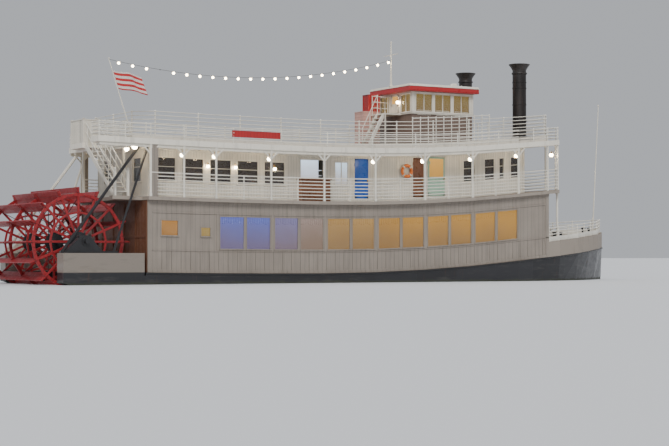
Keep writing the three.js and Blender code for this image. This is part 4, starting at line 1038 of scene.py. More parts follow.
class STEAMER_OT_decks(PieceOperator, bpy.types.Operator):
    """Mouldings along the deck edges, the beams overhead, the rubbing strake and the front posts"""
    bl_idname = "steamer.decks"
    bl_label = "Deck edges and beams"

    def execute(self, context):
        bm = bmesh.new()
        for plan, level in ((edge_plan(-11.76, 0.024), PROMENADE - 0.03), (eave_edge(0.024), EAVE_TOP - 0.035),
                            (eave_edge(0.024), EAVE + 0.04)):
            bar(bm, [(x - 0.012 if x > 9 else x, y, level) for x, y in plan], 0.024, 10)
        follow_sheer(bm)
        finished("deck_edge_mouldings", bm, "trim_white", smooth=SMOOTH)

        bm = bmesh.new()
        under = EAVE - 0.001
        for index in range(24):
            x = -11.3 + index * 0.846
            for side in (-1, 1):
                box(bm, (x - 0.03, side * 3.02, EAVE - 0.09), (x + 0.03, side * 4.17, under))
        for x, low, high in ((-13.9, -4.15, -3.4), (-13.3, -4.15, -3.4), (-12.7, -4.15, -3.4), (-12.9, 0.2, 1.6),
                             (-12.3, -3.3, 1.6), (-11.4, -3.3, 3.3)):
            box(bm, (x - 0.04, low, EAVE - 0.12), (x + 0.04, high, under))
        for side, aft in ((-1, -14.1), (1, -12.25)):
            box(bm, (aft, side * 4.14, EAVE - 0.14), (8.46, side * 4.19, under))
        follow_sheer(bm)
        finished("overhead_beams", bm, "trim_white", rounding=0.005)

        bm = bmesh.new()
        stations = ((-11.9, 4.2), (8.46, 4.2), (11.28, 3.92), (12.9, 3.4), (14.1, 2.8), (15.3, 2.02), (16.3, 1.12),
                    (16.9, 0.36))
        for side in (-1, 1):
            bar(bm, [(x, side * (y - 0.01), MAIN_DECK - 0.05) for x, y in stations], 0.045, 10)
        follow_sheer(bm)
        finished("rubbing_strake", bm, "iron", smooth=SMOOTH)

        bm = bmesh.new()
        for side in (-1, 1):
            x, y = 11.3, side * 3.66
            disc(bm, (x, y, FOREDECK), (x, y, PROMENADE - 0.161), 0.055, sides=20)
            for low in (FOREDECK, PROMENADE - 0.22):
                disc(bm, (x, y, low), (x, y, low + 0.058), 0.09, sides=20)
        follow_sheer(bm)
        finished("front_posts", bm, "trim_white", smooth=SMOOTH)
        return {"FINISHED"}


# Upper cabin and doors

class STEAMER_OT_cabin(PieceOperator, bpy.types.Operator):
    """The upper cabin's windows, posts and mouldings, and the serving counter"""
    bl_idname = "steamer.cabin"
    bl_label = "Upper cabin"

    def execute(self, context):
        skirt = (PROMENADE + 0.003, PROMENADE + 0.13, 0.025)
        foot, head = PROMENADE + 0.13, 7.2
        for name, side in SIDES:
            wall = side_wall(side, CABIN_SIDE)
            # The cabin's side windows get near-black sheets of painted shade for the unlit rooms
            window_set(f"cabin_window_{name}", cabin_windows(), wall, 0.06, "shaded_room_blinds", level=0.62)
            window_set(f"galley_window_{name}", [GALLEY_WINDOW], wall, 0.06, "cool_blinds", upright=0.5)
            bm = bmesh.new()
            for u0, u1 in ((CABIN_AFT, -0.5), (0.37, 2.85), (3.57, 3.72), (4.83, CABIN_FORE)):
                board(bm, wall, u0, u1, *skirt)
            board(bm, wall, CABIN_AFT, CABIN_FORE, head, head + 0.1, 0.03)
            for x in (-11.24, -9.775, -8.365, -6.955, -5.545, -4.2, -3.58, -2.05, -1.74, -0.62, 1.1, 2.0, 4.95,
                      5.7, 6.9, 8.6, 9.66):
                batten(bm, wall, x, 0.045, foot, head, 0.022)
            for u0, u1 in ((0.4, 1.02), (1.18, 1.92), (2.08, 2.77)):
                board(bm, wall, u0, u1, 5.9, 5.95, 0.016)
            opening = (-3.45, -2.18, 6.1, 7.05)
            casing(bm, wall, opening, 0.07)
            follow_sheer(bm)
            finished(f"cabin_mouldings_{name}", bm, "trim_white", rounding=0.004)

            # The serving opening's blind and shelves glow with painted cool light
            bm = bmesh.new()
            blind(bm, side_wall(side, CABIN_SIDE - 0.45), opening)
            for shelf in (6.3, 6.55):
                box(bm, (-3.4, -0.56, shelf), (-2.23, -0.1, shelf + 0.02), wall)
            follow_sheer(bm)
            finished(f"serving_shelves_{name}", bm, "cool_blinds")

        for name, way, x, ys, levels in (("front", 1, CABIN_FORE, (-2.0, -0.7, 0.7, 2.0), (5.85, 6.9)),
                                         ("aft", -1, CABIN_AFT, (-1.7, 1.7), (5.8, 6.88))):
            wall = end_wall(way, x, sheer(x))
            # The front and aft windows get the same near-black sheets of painted shade
            window_set(f"cabin_window_{name}", [(y - 0.5, y + 0.5, *levels) for y in ys], wall, 0.06,
                       "shaded_room_blinds", bend=False, level=0.62)
            bm = bmesh.new()
            for rows in (skirt, (head, head + 0.1, 0.025)):
                board(bm, wall, -3.0, 3.0, *rows)
            for y in (-2.96, -1.35, 0, 1.35, 2.96):
                batten(bm, wall, y, 0.04, foot, head, 0.022)
            finished(f"cabin_mouldings_{name}", bm, "trim_white", rounding=0.004)

        bm = bmesh.new()
        wall = side_wall(-1, CABIN_SIDE + 0.42)
        top = PROMENADE + 1.05
        box(bm, (-3.66, -0.42, top - 0.004), (-1.99, 0.06, top + 0.045), wall)
        for index in range(4):
            u = -3.56 + index * 0.385
            for low, high in ((0.1, 0.16), (0.88, 0.94)):
                board(bm, wall, u, u + 0.33, PROMENADE + low, PROMENADE + high, 0.015)
            for shift in (0, 0.28):
                board(bm, wall, u + shift, u + shift + 0.05, PROMENADE + 0.1, PROMENADE + 0.94, 0.015)
        follow_sheer(bm)
        finished("counter_top_and_panels", bm, "counter_wood", slot="brown_wood", rounding=0.006, segments=2)
        return {"FINISHED"}


# Each hinged door: node, body, finish of its mouldings, whether its upper panel is glazed
DOORS = [(f"{kind}_door_{name}", look, glazed) for name, _ in SIDES
         for kind, look, glazed in (("bar", "blue", False), ("service", "counter_wood", False),
                                    ("saloon", "green", True))]
DOORS += [("front_door", "trim_white", True), ("pilothouse_door", "trim_white", True)]


class STEAMER_OT_doors(PieceOperator, bpy.types.Operator):
    """Rails and stiles, lights and handles on every door"""
    bl_idname = "steamer.doors"
    bl_label = "Doors"

    def execute(self, context):
        edge = 0.085
        for node, look, glazed in DOORS:
            low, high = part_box(node)
            if node == "front_door":
                wall, u0, u1 = end_wall(1, high.x - 0.0183), -0.442, 0.442
            elif node == "pilothouse_door":
                wall, u0, u1 = end_wall(-1, low.x + 0.0183), -0.342, 0.342
            else:
                side = -1 if node.endswith("starboard") else 1
                wall, u0, u1 = side_wall(side, 3.004), low.x + 0.034, high.x
            z0, z1 = low.z, high.z
            middle = z0 + (z1 - z0) * 0.46
            bm = bmesh.new()
            for a, b, c, d in ((u0, u0 + edge, z0, z1), (u1 - edge, u1, z0, z1), (u0, u1, z1 - edge, z1),
                               (u0, u1, z0, z0 + 0.16), (u0, u1, middle - 0.05, middle + 0.05)):
                for inner, outer in ((-0.004, 0.009), (-0.069, -0.056)):
                    box(bm, (a, inner, c), (b, outer, d), wall)
            finished(f"{node}_mouldings", bm, look, slot="house_white", body=node, rounding=0.003)
            if glazed:
                bm = bmesh.new()
                # The glazed light is an opaque panel glowing with painted light, as of a lit room behind
                box(bm, (u0 + edge, -0.002, middle + 0.05), (u1 - edge, 0.004, z1 - edge), wall)
                finished(f"{node}_light", bm, "cabin_blinds", body=node)
            bm = bmesh.new()
            grip = u0 + 0.05 if node == "pilothouse_door" else u1 - 0.05
            for way, face in ((1, 0.008), (-1, -0.068)):
                box(bm, (grip - 0.02, face, middle - 0.12), (grip + 0.02, face + way * 0.006, middle + 0.08), wall)
                knob = (grip, face + way * 0.045, middle)
                disc(bm, (grip, face, middle), knob, 0.009, sides=8, wall=wall)
                ball(bm, wall @ Vector(knob), 0.024, 12, 8)
            finished(f"{node}_handle", bm, "brass", body=node, rounding=0.002, smooth=SMOOTH)
        return {"FINISHED"}


# Lamps, light string and flag

def lantern(globes, metal, place, out, reach):
    """A globe in a cage under a cap, held off a post or a wall by a bracket"""
    place, out = Vector(place), Vector(out)
    ball(globes, place, reach, 20, 12)
    turned(metal, ((0, 0), (reach * 0.8, 0), (reach * 0.86, 0.012), (reach * 0.45, 0.05), (0.018, 0.07),
                   (0.014, 0.1), (0, 0.1)), Matrix.Translation(place + up(reach * 0.82)), 20)
    turned(metal, ((0, 0), (0.02, 0.004), (reach * 0.4, 0.02), (reach * 0.42, 0.03), (0, 0.03)),
           Matrix.Translation(place - up(reach * 1.12)), 16)
    for _, side in compass(4, 0.5):
        bar(metal, [place + side * (reach * across) + up(reach * height) for across, height in (
            (0.55, 0.9), (1.0, 0.45), (1.06, 0), (0.9, -0.6), (0.35, -1.0))], 0.005, 6)
    knee = place + up(reach * 0.82 + 0.09)
    bar(metal, [knee, knee + up(0.03), knee + out + up(0.02), knee + out - up(0.1)], 0.01, 8)


class STEAMER_OT_lamps(PieceOperator, bpy.types.Operator):
    """Lanterns on the promenade's posts, the cabin's walls and the bridge, and floodlights at the stern"""
    bl_idname = "steamer.lamps"
    bl_label = "Lamps"

    def execute(self, context):
        reach = context.scene.steamer_sizes.lamp
        globes, metal = bmesh.new(), bmesh.new()
        for side in (-1, 1):
            for x in (-10.06, -8.46, -5.64, 0.0, 2.82, 5.64, 8.46):
                lantern(globes, metal, (x, side * 3.99, 6.95 + sheer(x)), (0, side * 0.15, 0), reach)
            for x in (-8.365, -6.955, -4.9):
                lantern(globes, metal, (x, side * 3.15, 6.55 + sheer(x)), (0, side * -0.13, 0), reach * 0.8)
            lantern(globes, metal, (10.9, side * 3.7, 6.86 + sheer(10.9)), (0.1, side * 0.08, 0), reach)
        for x, y in ((-12.35, -3.95), (-12.12, -2.45)):
            top = EAVE + sheer(x) - 0.002
            disc(metal, (x, y, top - 0.05), (x, y, top), 0.12, 0.1, 24)
            disc(metal, (x, y, top - 0.09), (x, y, top - 0.05), 0.155, 0.13, 24)
            ball(globes, (x, y, top - 0.12), 0.13, 24, 12)
        lantern(globes, metal, (3.62, -0.45, 10.3), (0.118, 0, 0), 0.09)
        finished("lamp_globes", globes, "lamp", smooth=math.pi)
        finished("lamp_fittings", metal, "brass", smooth=SMOOTH)
        return {"FINISHED"}


class STEAMER_OT_light_string(PieceOperator, bpy.types.Operator):
    """The string of bulbs from the flagstaff to the mast"""
    bl_idname = "steamer.light_string"
    bl_label = "Light string"

    def execute(self, context):
        sizes = context.scene.steamer_sizes
        start = STAFF_FOOT + Vector((-STAFF_RAKE * 3.44, 0, 3.48 + sheer(STAFF_FOOT.x)))
        end = Vector((MAST_X, -0.05, 12.49))

        def hang(share):
            return start.lerp(end, share) - up(4 * sizes.sag * share * (1 - share))

        line = [hang(index / 36) for index in range(37)]
        cable, holders, bulbs = bmesh.new(), bmesh.new(), bmesh.new()
        bar(cable, line, 0.008, 8)
        for index in range(sizes.bulbs):
            place = hang((index + 0.7) / sizes.bulbs)
            disc(holders, place + up(0.012), place - up(0.03), 0.018, 0.024, 12)
            if index != 3:          # one socket is empty
                ball(bulbs, place - up(0.02 + sizes.bulb * 0.85), sizes.bulb, 16, 10)
        made = finished("light_string", cable, "cable", smooth=SMOOTH)
        held = [finished("string_sockets", holders, "cable", smooth=SMOOTH),
                finished("string_bulbs", bulbs, "string_bulb", smooth=math.pi)]
        return {"FINISHED"}


class STEAMER_OT_flag(PieceOperator, bpy.types.Operator):
    """The striped flag, blown a little and drooping, and its staff"""
    bl_idname = "steamer.flag"
    bl_label = "Flag"

    def execute(self, context):
        fly, hoist = 1.44, 0.8
        lift = sheer(STAFF_FOOT.x)
        foot, top = STAFF_FOOT + up(lift), 10.58 + lift
        bm = bmesh.new()
        bm.loops.layers.uv.new("UVMap")
        grid = bmesh.ops.create_grid(bm, x_segments=44, y_segments=22, size=0.5, calc_uvs=True)
        for vert in grid["verts"]:
            out, fall = vert.co.x + 0.5, 0.5 - vert.co.y
            z = top - hoist * fall
            staff = STAFF_FOOT.x - STAFF_RAKE * (z - lift - STAFF_FOOT.z - 0.06)
            wave = 0.075 * out * math.sin(out * 9.5 + fall * 1.6) + 0.03 * out * math.sin(out * 21 - fall * 3)
            droop = 0.05 * out + 0.16 * out * out + 0.02 * math.sin(out * 8)
            vert.co = Vector((staff + 0.034 + fly * out * 0.95, STAFF_FOOT.y + wave, z - droop))
        area = sum(face.calc_area() for face in bm.faces)
        made = cloth("flag_cloth", bm, "flag", stands_for=("flag",))

        bm = bmesh.new()
        tip = foot + Vector((-1.15, 0, 3.49))
        disc(bm, foot, tip, 0.036, 0.02, 16)
        turned(bm, ((0, 0), (0.03, 0.002), (0.045, 0.03), (0.03, 0.06), (0, 0.07)), Matrix.Translation(tip), 16)
        turned(bm, ((0, 0), (0.1, 0), (0.1, 0.03), (0.05, 0.06), (0.05, 0.12), (0, 0.12)),
               Matrix.Translation(foot), 16)
        finished("flagstaff_pole", bm, "trim_white", stands_for=("flagstaff",), smooth=SMOOTH)
        return {"FINISHED"}


class STEAMER_OT_masts(PieceOperator, bpy.types.Operator):
    """Mast with its yard, and the jackstaff"""
    bl_idname = "steamer.masts"
    bl_label = "Mast and jackstaff"

    def execute(self, context):
        bm = bmesh.new()
        foot, yard = Vector((MAST_X, 0, ROOF_TOP)), Vector((MAST_X, 0, 12.76))
        disc(bm, foot, (MAST_X, 0, 13.38), 0.052, 0.032, 20)
        turned(bm, ((0, 0), (0.034, 0), (0.06, 0.02), (0.06, 0.045), (0.03, 0.07), (0, 0.08)),
               Matrix.Translation((MAST_X, 0, 13.375)), 20)
        turned(bm, ((0, 0), (0.11, 0), (0.11, 0.03), (0.065, 0.06), (0.06, 0.16), (0, 0.16)),
               Matrix.Translation(foot), 20)
        for reach in (0.69, -0.69):
            disc(bm, yard, yard + Vector((0, reach, 0)), 0.028, 0.016, 12)
        finished("mast_and_yard", bm, "trim_white", stands_for=("mast",), smooth=SMOOTH)

        bm = bmesh.new()
        foot = Vector((16.56, 0, FOREDECK + sheer(16.56)))
        tip = Vector((17.0, 0, 9.48 + sheer(16.56)))
        disc(bm, foot, tip, 0.04, 0.024, 16)
        disc(bm, foot - up(0.02), foot + Vector((0.01, 0, 0.1)), 0.09, 0.06, 16)
        ball(bm, tip + Vector((-0.018, 0, -0.02)), 0.055, 16, 10)
        finished("jackstaff_pole", bm, "trim_white", stands_for=("jackstaff",), smooth=SMOOTH)
        return {"FINISHED"}


# Paddle wheel and its bearings

# The wheel's buckets, and its frames and the bearings across the boat
BUCKETS = 16
WHEEL_FRAMES = (-3.015, 0.0, 3.015)
BEARING_Y = 3.75


class STEAMER_OT_wheel(PieceOperator, bpy.types.Operator):
    """The wheel's spokes, doubled rims, planked buckets, hubs, bolts and cross braces, and the bearings' caps"""
    bl_idname = "steamer.wheel"
    bl_label = "Paddle wheel"

    def execute(self, context):
        half_bay = math.pi / BUCKETS
        timbers, planks, iron = bmesh.new(), bmesh.new(), bmesh.new()
        for index in range(BUCKETS):
            spoke, bay = (Matrix.Translation(WHEEL_HUB) @ Matrix.Rotation(-(index + share) * 2 * half_bay, 4, "Y")
                          for share in (0, 0.5))
            for y in WHEEL_FRAMES:
                box(timbers, (0.26, y - 0.034, -0.05), (2.22, y + 0.034, 0.05), spoke)
                for low, high in ((1.99, 2.13), (1.23, 1.32)):
                    half = high * math.tan(half_bay)
                    box(timbers, (low, y - 0.03, -half), (high, y + 0.03, half), bay)
                for way in (-1, 1):
                    box(timbers, (2.0, y + way * 0.034, -0.38), (2.1, y + way * 0.056, 0.38), spoke)
                    for radius, across in ((2.05, -0.26), (2.05, 0.26), (2.05, 0.0), (1.275, 0.0), (0.36, 0.0)):
                        face = 0.056 if radius > 2 else 0.034
                        disc(iron, (radius, y + way * face, across), (radius, y + way * (face + 0.018), across),
                             0.02, sides=6, wall=spoke)
                box(iron, (2.14, y - 0.045, -0.056), (2.18, y + 0.045, 0.056), spoke)
            for low, high in ((1.905, 2.155), (2.165, 2.415)):
                box(planks, (low, -3.105, -0.024), (high, 3.105, 0.024), spoke)
            for y in (-2.9, -0.12, 0.12, 2.9):
                box(planks, (1.92, y - 0.05, 0.024), (2.4, y + 0.05, 0.052), spoke)
                for radius in (1.98, 2.1, 2.22, 2.34):
                    disc(iron, (radius, y, 0.052), (radius, y, 0.066), 0.017, sides=6, wall=spoke)
            if index % 2 == 0:
                for inner, outer in ((-3.0, -0.03), (-0.03, -3.0), (3.0, 0.03), (0.03, 3.0)):
                    disc(iron, (0.4, inner, 0), (1.95, outer, 0), 0.016, sides=8, wall=spoke)
        flange = ((0.095, 0), (0.44, 0), (0.44, 0.02), (0.4, 0.03), (0.2, 0.034), (0.17, 0.08), (0.15, 0.1),
                  (0.095, 0.1))
        for y in WHEEL_FRAMES:
            for way in (-1, 1):
                hub = Matrix.Translation(WHEEL_HUB + Vector((0, y + way * 0.034, 0)))
                turned(iron, flange, hub @ Matrix.Rotation(-way * math.pi / 2, 4, "X"), 32)
        finished("wheel_timbers", timbers, "wheel_wood", body="wheel", stands_for=("paddle_wheel",),
                 rounding=0.005)
        finished("wheel_buckets", planks, "wheel_planks", body="wheel", rounding=0.005)
        finished("wheel_iron", iron, "iron", body="wheel", smooth=SMOOTH)

        bm = bmesh.new()
        for side in (-1, 1):
            hub = WHEEL_HUB + Vector((0, side * BEARING_Y, 0))
            for y in (3.56, 3.9):
                low, high = sorted((side * y, side * (y + 0.04)))
                disc(bm, (hub.x, low, hub.z), (hub.x, high, hub.z), 0.17, sides=24)
            post(bm, hub.xy, 0.3, 0.13, hub.z + 0.2, hub.z + 0.27)
            for x in (-0.24, 0.24):
                for y in (-0.07, 0.07):
                    top = hub + Vector((x, side * y, 0.27))
                    disc(bm, top, top + up(0.04), 0.032, sides=6)
                    disc(bm, top, top + up(0.08), 0.016, sides=8)
            for x in (-0.36, 0.36):
                foot = Vector((hub.x + x, hub.y, 2.62))
                post(bm, foot.xy, 0.1, 0.19, foot.z - 0.02, foot.z + 0.02)
                for y in (-0.16, 0.16):
                    disc(bm, foot + Vector((0, y, 0.02)), foot + Vector((0, y, 0.06)), 0.028, sides=6)
            turned(bm, ((0, 0), (0.02, 0), (0.02, 0.05), (0.05, 0.06), (0.05, 0.12), (0.03, 0.14), (0, 0.14)),
                   Matrix.Translation(hub + up(0.27)), 16)
        finished("bearing_caps", bm, "iron", rounding=0.004, smooth=SMOOTH)
        return {"FINISHED"}


# Stern: stair, landing and gallery

class STEAMER_OT_stern(PieceOperator, bpy.types.Operator):
    """Handrails and nosings of the stern stair, boards and cap of the bulwark"""
    bl_idname = "steamer.stern"
    bl_label = "Stern stair and bulwark"

    def execute(self, context):
        sizes = context.scene.steamer_sizes
        tread, riser = (STAIR_HEAD - STAIR_FOOT) / STAIR_STEPS, (EAVE_TOP - PROMENADE) / STAIR_STEPS

        def pitch(x, y, above):
            return (x, y, PROMENADE + (y - STAIR_FOOT) * riser / tread + above)

        bm = bmesh.new()
        for x in (STAIR_X0 + 0.03, STAIR_X1 - 0.05):
            for above, radius in ((0.5, sizes.rail_bar), (0.92, sizes.rail_bar * 1.3)):
                bar(bm, [pitch(x, -3.42, above), pitch(x, 0.06, above)], radius)
            for index in range(6):
                y = -3.3 + index * 0.63
                disc(bm, pitch(x, y, 0), pitch(x, y, 0.92), sizes.rail_post * 0.6, sides=8)
                ball(bm, pitch(x, y, 0.5), sizes.rail_post)
            post(bm, (x, -3.455), 0.045, 0.045, PROMENADE + 0.003, PROMENADE + 1.12)
            post(bm, (x, -3.455), 0.06, 0.06, PROMENADE + 1.12, PROMENADE + 1.15)
            ball(bm, (x, -3.455, PROMENADE + 1.2), 0.055, 16, 10)
        for index in range(1, STAIR_STEPS - 1):
            y, z = STAIR_FOOT + index * tread - 0.13, PROMENADE + index * riser - 0.016
            disc(bm, (STAIR_X0 + 0.045, y, z), (STAIR_X1 - 0.045, y, z), 0.019, sides=10)
        follow_sheer(bm)
        finished("stern_stair_rails", bm, "rail_white", rounding=0.004, smooth=SMOOTH)

        bm = bmesh.new()
        foot, top = EAVE_TOP + 0.004, EAVE_TOP + 1.05
        aft = end_wall(-1, -13.18)
        for index in range(12):
            y = 0.15 + index * 0.136
            board(bm, aft, y, y + 0.012, foot, top, 0.012)
        for y, fore in ((0.12, -12.38), (1.62, -12.3)):
            for index in range(6):
                x = -13.05 + index * 0.136
                box(bm, (x, y - 0.01, foot), (x + 0.012, y + 0.07, top))
            box(bm, (-13.2, y - 0.03, top), (fore, y + 0.09, top + 0.042))
        box(bm, (-13.21, 0.09, top), (-13.09, 1.71, top + 0.042))
        for place in ((-13.15, 0.15), (-13.15, 1.65), (-12.43, 0.15), (-12.34, 1.65)):
            post(bm, place, 0.05, 0.05, EAVE_TOP + 0.003, top + 0.06)
            post(bm, place, 0.065, 0.065, top + 0.06, top + 0.08)
        follow_sheer(bm)
        finished("bulwark_boards", bm, "cabin_end_boards", rounding=0.004)
        return {"FINISHED"}


# Stacks, pilothouse and deck gear

class STEAMER_OT_stacks(PieceOperator, bpy.types.Operator):
    """The two stacks with their bands, rivets and flared crowns"""
    bl_idname = "steamer.stacks"
    bl_label = "Stacks"

    def execute(self, context):
        for name, side in SIDES:
            low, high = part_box(f"stack_{name}")
            foot = Vector((STACK_X, side * STACK_Y, low.z))
            height = high.z - low.z
            profile = [(0, 0.02), (0.43, 0.02), (0.43, 0.05), (0.375, 0.08), (0.355, 0.1)]
            bands = (0.9, 1.75, 2.6, height - 0.95)
            for level in bands:
                profile += [(radius, level + shift) for radius, shift in (
                    (0.353, -0.035), (0.366, -0.03), (0.366, 0.03), (0.353, 0.035))]
            profile += [(radius, height - drop) for radius, drop in (
                (0.353, 0.53), (0.385, 0.525), (0.4, 0.5), (0.4, 0.46), (0.385, 0.435), (0.353, 0.43),
                (0.353, 0.33), (0.375, 0.28), (0.42, 0.2), (0.48, 0.11), (0.53, 0.05), (0.548, 0.03),
                (0.55, 0.012), (0.54, 0.001), (0.523, 0.012), (0.5, 0.07), (0.44, 0.16), (0.39, 0.24),
                (0.34, 0.32), (0.34, 1.3), (0, 1.3))]
            bm = bmesh.new()
            turned(bm, profile, Matrix.Translation(foot), 40)
            finished(f"stack_tube_{name}", bm, "stack", stands_for=(f"stack_{name}",), smooth=math.radians(35))
            bm = bmesh.new()
            for level in bands:
                for _, way in compass(18):
                    ball(bm, foot + way * 0.366 + up(level), 0.013, 6, 4)
            for _, way in compass(8, 0.5):
                bolt = foot + way * 0.4 + up(0.05)
                disc(bm, bolt, bolt + up(0.03), 0.018, sides=6)
            finished(f"stack_rivets_{name}", bm, "stack", smooth=math.radians(50))
        return {"FINISHED"}


class STEAMER_OT_pilothouse(PieceOperator, bpy.types.Operator):
    """Windows, mouldings and roof of the pilothouse, its searchlight and horns and the rails of its ladder"""
    bl_idname = "steamer.pilothouse"
    bl_label = "Pilothouse"

    def execute(self, context):
        sizes = context.scene.steamer_sizes
        sill, head, foot, eaves = 9.77, 10.68, PILOT_FOOT, 10.78
        sides = [(name, side_wall(side, PILOT_HALF), 0.495, (4.465, 5.605, 6.745)) for name, side in SIDES]
        ends = [("front", end_wall(1, PILOT_X1), 0.45, (-1.02, 0, 1.02)),
                ("aft", end_wall(-1, PILOT_X0), 0.45, (-1, 1))]
        for name, wall, half, middles in sides + ends:
            window_set(f"bridge_window_{name}", [(u - half, u + half, sill, head) for u in middles], wall, 0.045,
                       "bridge_blinds", bend=False, upright=0.5)

        bm = bmesh.new()
        for _, wall, *_ in sides:
            for x in (3.79, 5.04, 6.18, 7.42):
                batten(bm, wall, x, 0.05, foot + 0.02, eaves, 0.03)
            for level, deep in ((foot + 0.01, 0.08), (sill - 0.11, 0.05), (10.72, 0.06)):
                board(bm, wall, PILOT_X0, PILOT_X1, level, level + deep, 0.035)
            for x in (4.06, 5.2, 6.34):
                for level in (foot + 0.13, sill - 0.16):
                    board(bm, wall, x, x + 0.81, level, level + 0.02, 0.015)
        for name, wall, *_ in ends:
            for y in (-1.55, 1.55):
                batten(bm, wall, y, 0.05, foot + 0.02, eaves, 0.03)
            for u0, u1 in ((-1.6, 1.6),) if name == "front" else ((-1.6, -0.4), (0.4, 1.6)):
                board(bm, wall, u0, u1, foot + 0.01, foot + 0.09, 0.035)
                board(bm, wall, u0, u1, sill - 0.11, sill - 0.06, 0.035)
        finished("bridge_mouldings", bm, "trim_white", rounding=0.004)

        bm = bmesh.new()
        box(bm, (3.4, -1.92, 10.792), (7.63, 1.92, 11.03))
        for side in (-1, 1):
            box(bm, (3.39, side * 1.92, 10.84), (7.64, side * 1.935, 10.87))
        finished("roof_fascia", bm, "red_trim", rounding=0.006)
        bm = bmesh.new()
        for vert in box(bm, (3.37, -1.95, 11.03), (7.66, 1.95, ROOF_TOP)):
            if vert.co.z > 11.1:
                vert.co.x += 0.06 if vert.co.x < 5 else -0.06
                vert.co.y *= 0.97
        finished("roof_boards", bm, "trim_white", stands_for=("pilothouse_roof",), rounding=0.012, segments=3)

        bm = bmesh.new()
        x, ahead = 7.35, Matrix.Rotation(math.pi / 2, 4, "Y")
        box(bm, (7.2, -0.12, ROOF_TOP), (7.5, 0.12, 11.18))
        disc(bm, (x, 0, 11.18), (x, 0, 11.24), 0.05, sides=20)
        for side in (-1, 1):
            strip(bm, [(x, side * 0.04, 11.24), (x, side * 0.16, 11.27), (x, side * 0.16, 11.4)], 0.012, 0.05)
        turned(bm, ((0, -0.06), (0.06, -0.05), (0.1, 0.0), (0.125, 0.06), (0.13, 0.25), (0.14, 0.26), (0.14, 0.29),
                    (0.12, 0.29), (0.11, 0.26), (0, 0.26)), Matrix.Translation((7.2, 0, 11.37)) @ ahead, 28)
        for y, length in ((-0.55, 0.5), (-0.72, 0.38)):
            throat = length * 0.7
            turned(bm, ((0, 0), (0.035, 0.0), (0.035, 0.06), (0.018, 0.08), (0.022, length * 0.6),
                        (0.045, length * 0.88), (0.085, length), (0.08, length), (0.02, throat), (0, throat)),
                   Matrix.Translation((6.98, y, 11.24)) @ ahead, 24)
            box(bm, (7.0, y - 0.02, 11.149), (7.06, y + 0.02, 11.24))
        finished("searchlight_and_horns", bm, "trim_white", smooth=math.radians(35))

        bm = bmesh.new()
        deck = SUN_DECK + sheer(2.0)
        bar(bm, [(1.82, 0.08, deck + 0.9), (2.72, 0.08, foot + 0.95)], sizes.rail_bar * 0.8)
        for x, z in ((1.84, deck), (2.28, (deck + foot) / 2 + 0.02)):
            disc(bm, (x, 0.08, z), (x, 0.08, z + 0.93), sizes.rail_post * 0.6, sides=10)
        plan, levels = ((2.74, 0.1), (2.74, 0.61), (3.68, 0.61)), (0.35, 0.65, 0.95)
        rail(bm, plan, foot, levels, sizes.rail_bar * 0.7)
        for place in plan:
            stanchion(bm, place, foot, 0.97, sizes.rail_post * 0.65, levels, 1.5)
        finished("bridge_ladder_rails", bm, "rail_white", smooth=SMOOTH)
        return {"FINISHED"}


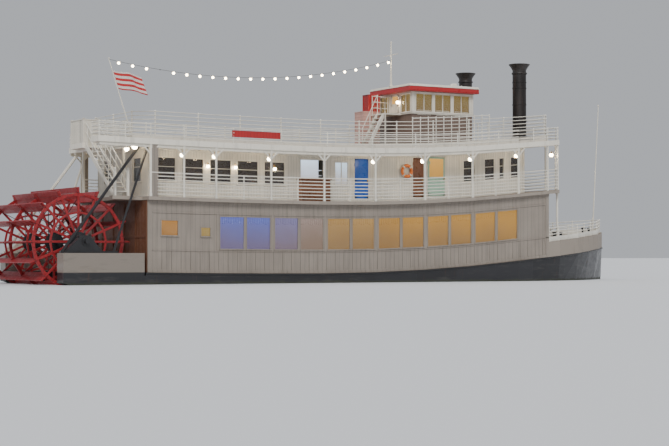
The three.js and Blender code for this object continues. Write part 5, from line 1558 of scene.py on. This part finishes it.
class STEAMER_OT_deck_gear(PieceOperator, bpy.types.Operator):
    """Deck hut on its locker, lifebuoys and the blank board"""
    bl_idname = "steamer.deck_gear"
    bl_label = "Deck gear"

    def execute(self, context):
        lift = sheer(3.0)
        foot, shelf, top = SUN_DECK + lift + 0.03, 9.73 + lift, 10.6 + lift
        bm = bmesh.new()
        box(bm, (2.28, 0.72, SUN_DECK + sheer(2.26)), (3.24, 1.58, shelf - 0.05))
        box(bm, (2.262, 0.7, shelf - 0.05), (3.26, 1.6, shelf))
        for x in (2.3, 2.76, 3.2):
            box(bm, (x, 0.705, foot), (x + 0.05, 0.72, shelf - 0.05))
        for y in (0.72, 1.13, 1.53):
            box(bm, (2.265, y, foot), (2.28, y + 0.05, shelf - 0.05))
        finished("deck_locker", bm, "pale_pink", rounding=0.008, segments=2)
        bm = bmesh.new()
        box(bm, (2.59, 0.73, shelf), (3.23, 1.27, top - 0.04))
        box(bm, (2.562, 0.702, top - 0.06), (3.258, 1.298, top))
        for place in ((2.6, 0.74), (3.22, 0.74), (2.6, 1.26), (3.22, 1.26)):
            post(bm, place, 0.035, 0.035, shelf, top - 0.06)
        for index in range(9):
            z = shelf + 0.1 + index * 0.075
            box(bm, (2.7, 0.712, z), (3.12, 0.735, z + 0.022))
            box(bm, (2.572, 0.84, z), (2.595, 1.16, z + 0.022))
        finished("deck_hut_boards", bm, "red_boards", stands_for=("deck_hut",), rounding=0.006)

        rings, bands = bmesh.new(), bmesh.new()
        section = [(0.27 + 0.078 * way.x, 0.062 * way.y) for _, way in compass(12)]
        rope = [way * 0.36 for _, way in compass(32)]
        upright = Matrix.Rotation(math.pi / 2, 4, "X")
        for side in (-1, 1):
            place = Matrix.Translation((2.49, side * 3.08, 6.51 + sheer(2.49))) @ upright
            turned(rings, [*section, section[0]], place, 40)
            for middle, _ in compass(4, 0.5):
                bar(bands, [place @ Vector((0.27 * math.cos(middle + step), 0.27 * math.sin(middle + step), 0))
                            for step in (-0.14, -0.05, 0.05, 0.14)], 0.082, 14)
            bar(bands, [place @ point for point in (*rope, rope[0])], 0.009, 6)
        finished("lifebuoys", rings, "orange", smooth=math.pi)
        finished("lifebuoy_bands", bands, "trim_white", smooth=math.radians(50))

        bm = bmesh.new()
        wall = side_wall(-1, -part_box("name_board")[1].y)
        u0, u1, z0, z1, edge = -7.67, -5.18, EAVE_TOP + 0.272, EAVE_TOP + 0.578, 0.035
        box(bm, (u0, 0.002, z0), (u1, 0.02, z1), wall)
        for a, b, c, d in ((u0, u1, z0, z0 + edge), (u0, u1, z1 - edge, z1), (u0, u0 + edge, z0, z1),
                           (u1 - edge, u1, z0, z1)):
            box(bm, (a, 0.002, c), (b, 0.029, d), wall)
        follow_sheer(bm)
        finished("blank_board", bm, "red_boards", stands_for=("name_board",), rounding=0.003)
        return {"FINISHED"}


OPERATORS = (
    STEAMER_OT_stage, STEAMER_OT_light_string, STEAMER_OT_finishes, STEAMER_OT_promenade_rails,
    STEAMER_OT_upper_rails, STEAMER_OT_foredeck, STEAMER_OT_main_house, STEAMER_OT_decks, STEAMER_OT_cabin,
    STEAMER_OT_doors, STEAMER_OT_lamps, STEAMER_OT_flag, STEAMER_OT_masts, STEAMER_OT_wheel, STEAMER_OT_stern,
    STEAMER_OT_stacks, STEAMER_OT_pilothouse, STEAMER_OT_deck_gear,
)


class STEAMER_PT_panel(bpy.types.Panel):
    """The steamer's pieces, in the sidebar"""
    bl_label = "Sternwheel steamer"
    bl_space_type = "VIEW_3D"
    bl_region_type = "UI"
    bl_category = "Steamer"

    def draw(self, context):
        for group in (context.scene.steamer_sizes, context.scene.steamer_colours):
            for name in group.bl_rna.properties.keys():
                if name not in ("rna_type", "name"):
                    self.layout.prop(group, name)
        for operator in OPERATORS:
            self.layout.operator(operator.bl_idname)


CLASSES = (SteamerSizes, SteamerColours, *OPERATORS, STEAMER_PT_panel)


def register():
    for entry in CLASSES:
        bpy.utils.register_class(entry)
    bpy.types.Scene.steamer_sizes = PointerProperty(type=SteamerSizes)
    bpy.types.Scene.steamer_colours = PointerProperty(type=SteamerColours)


def unregister():
    del bpy.types.Scene.steamer_sizes
    del bpy.types.Scene.steamer_colours
    for entry in reversed(CLASSES):
        bpy.utils.unregister_class(entry)


def main():
    register()
    for operator in OPERATORS:
        group, _, call = operator.bl_idname.partition(".")
        getattr(getattr(bpy.ops, group), call)()


if __name__ == "__main__":
    main()
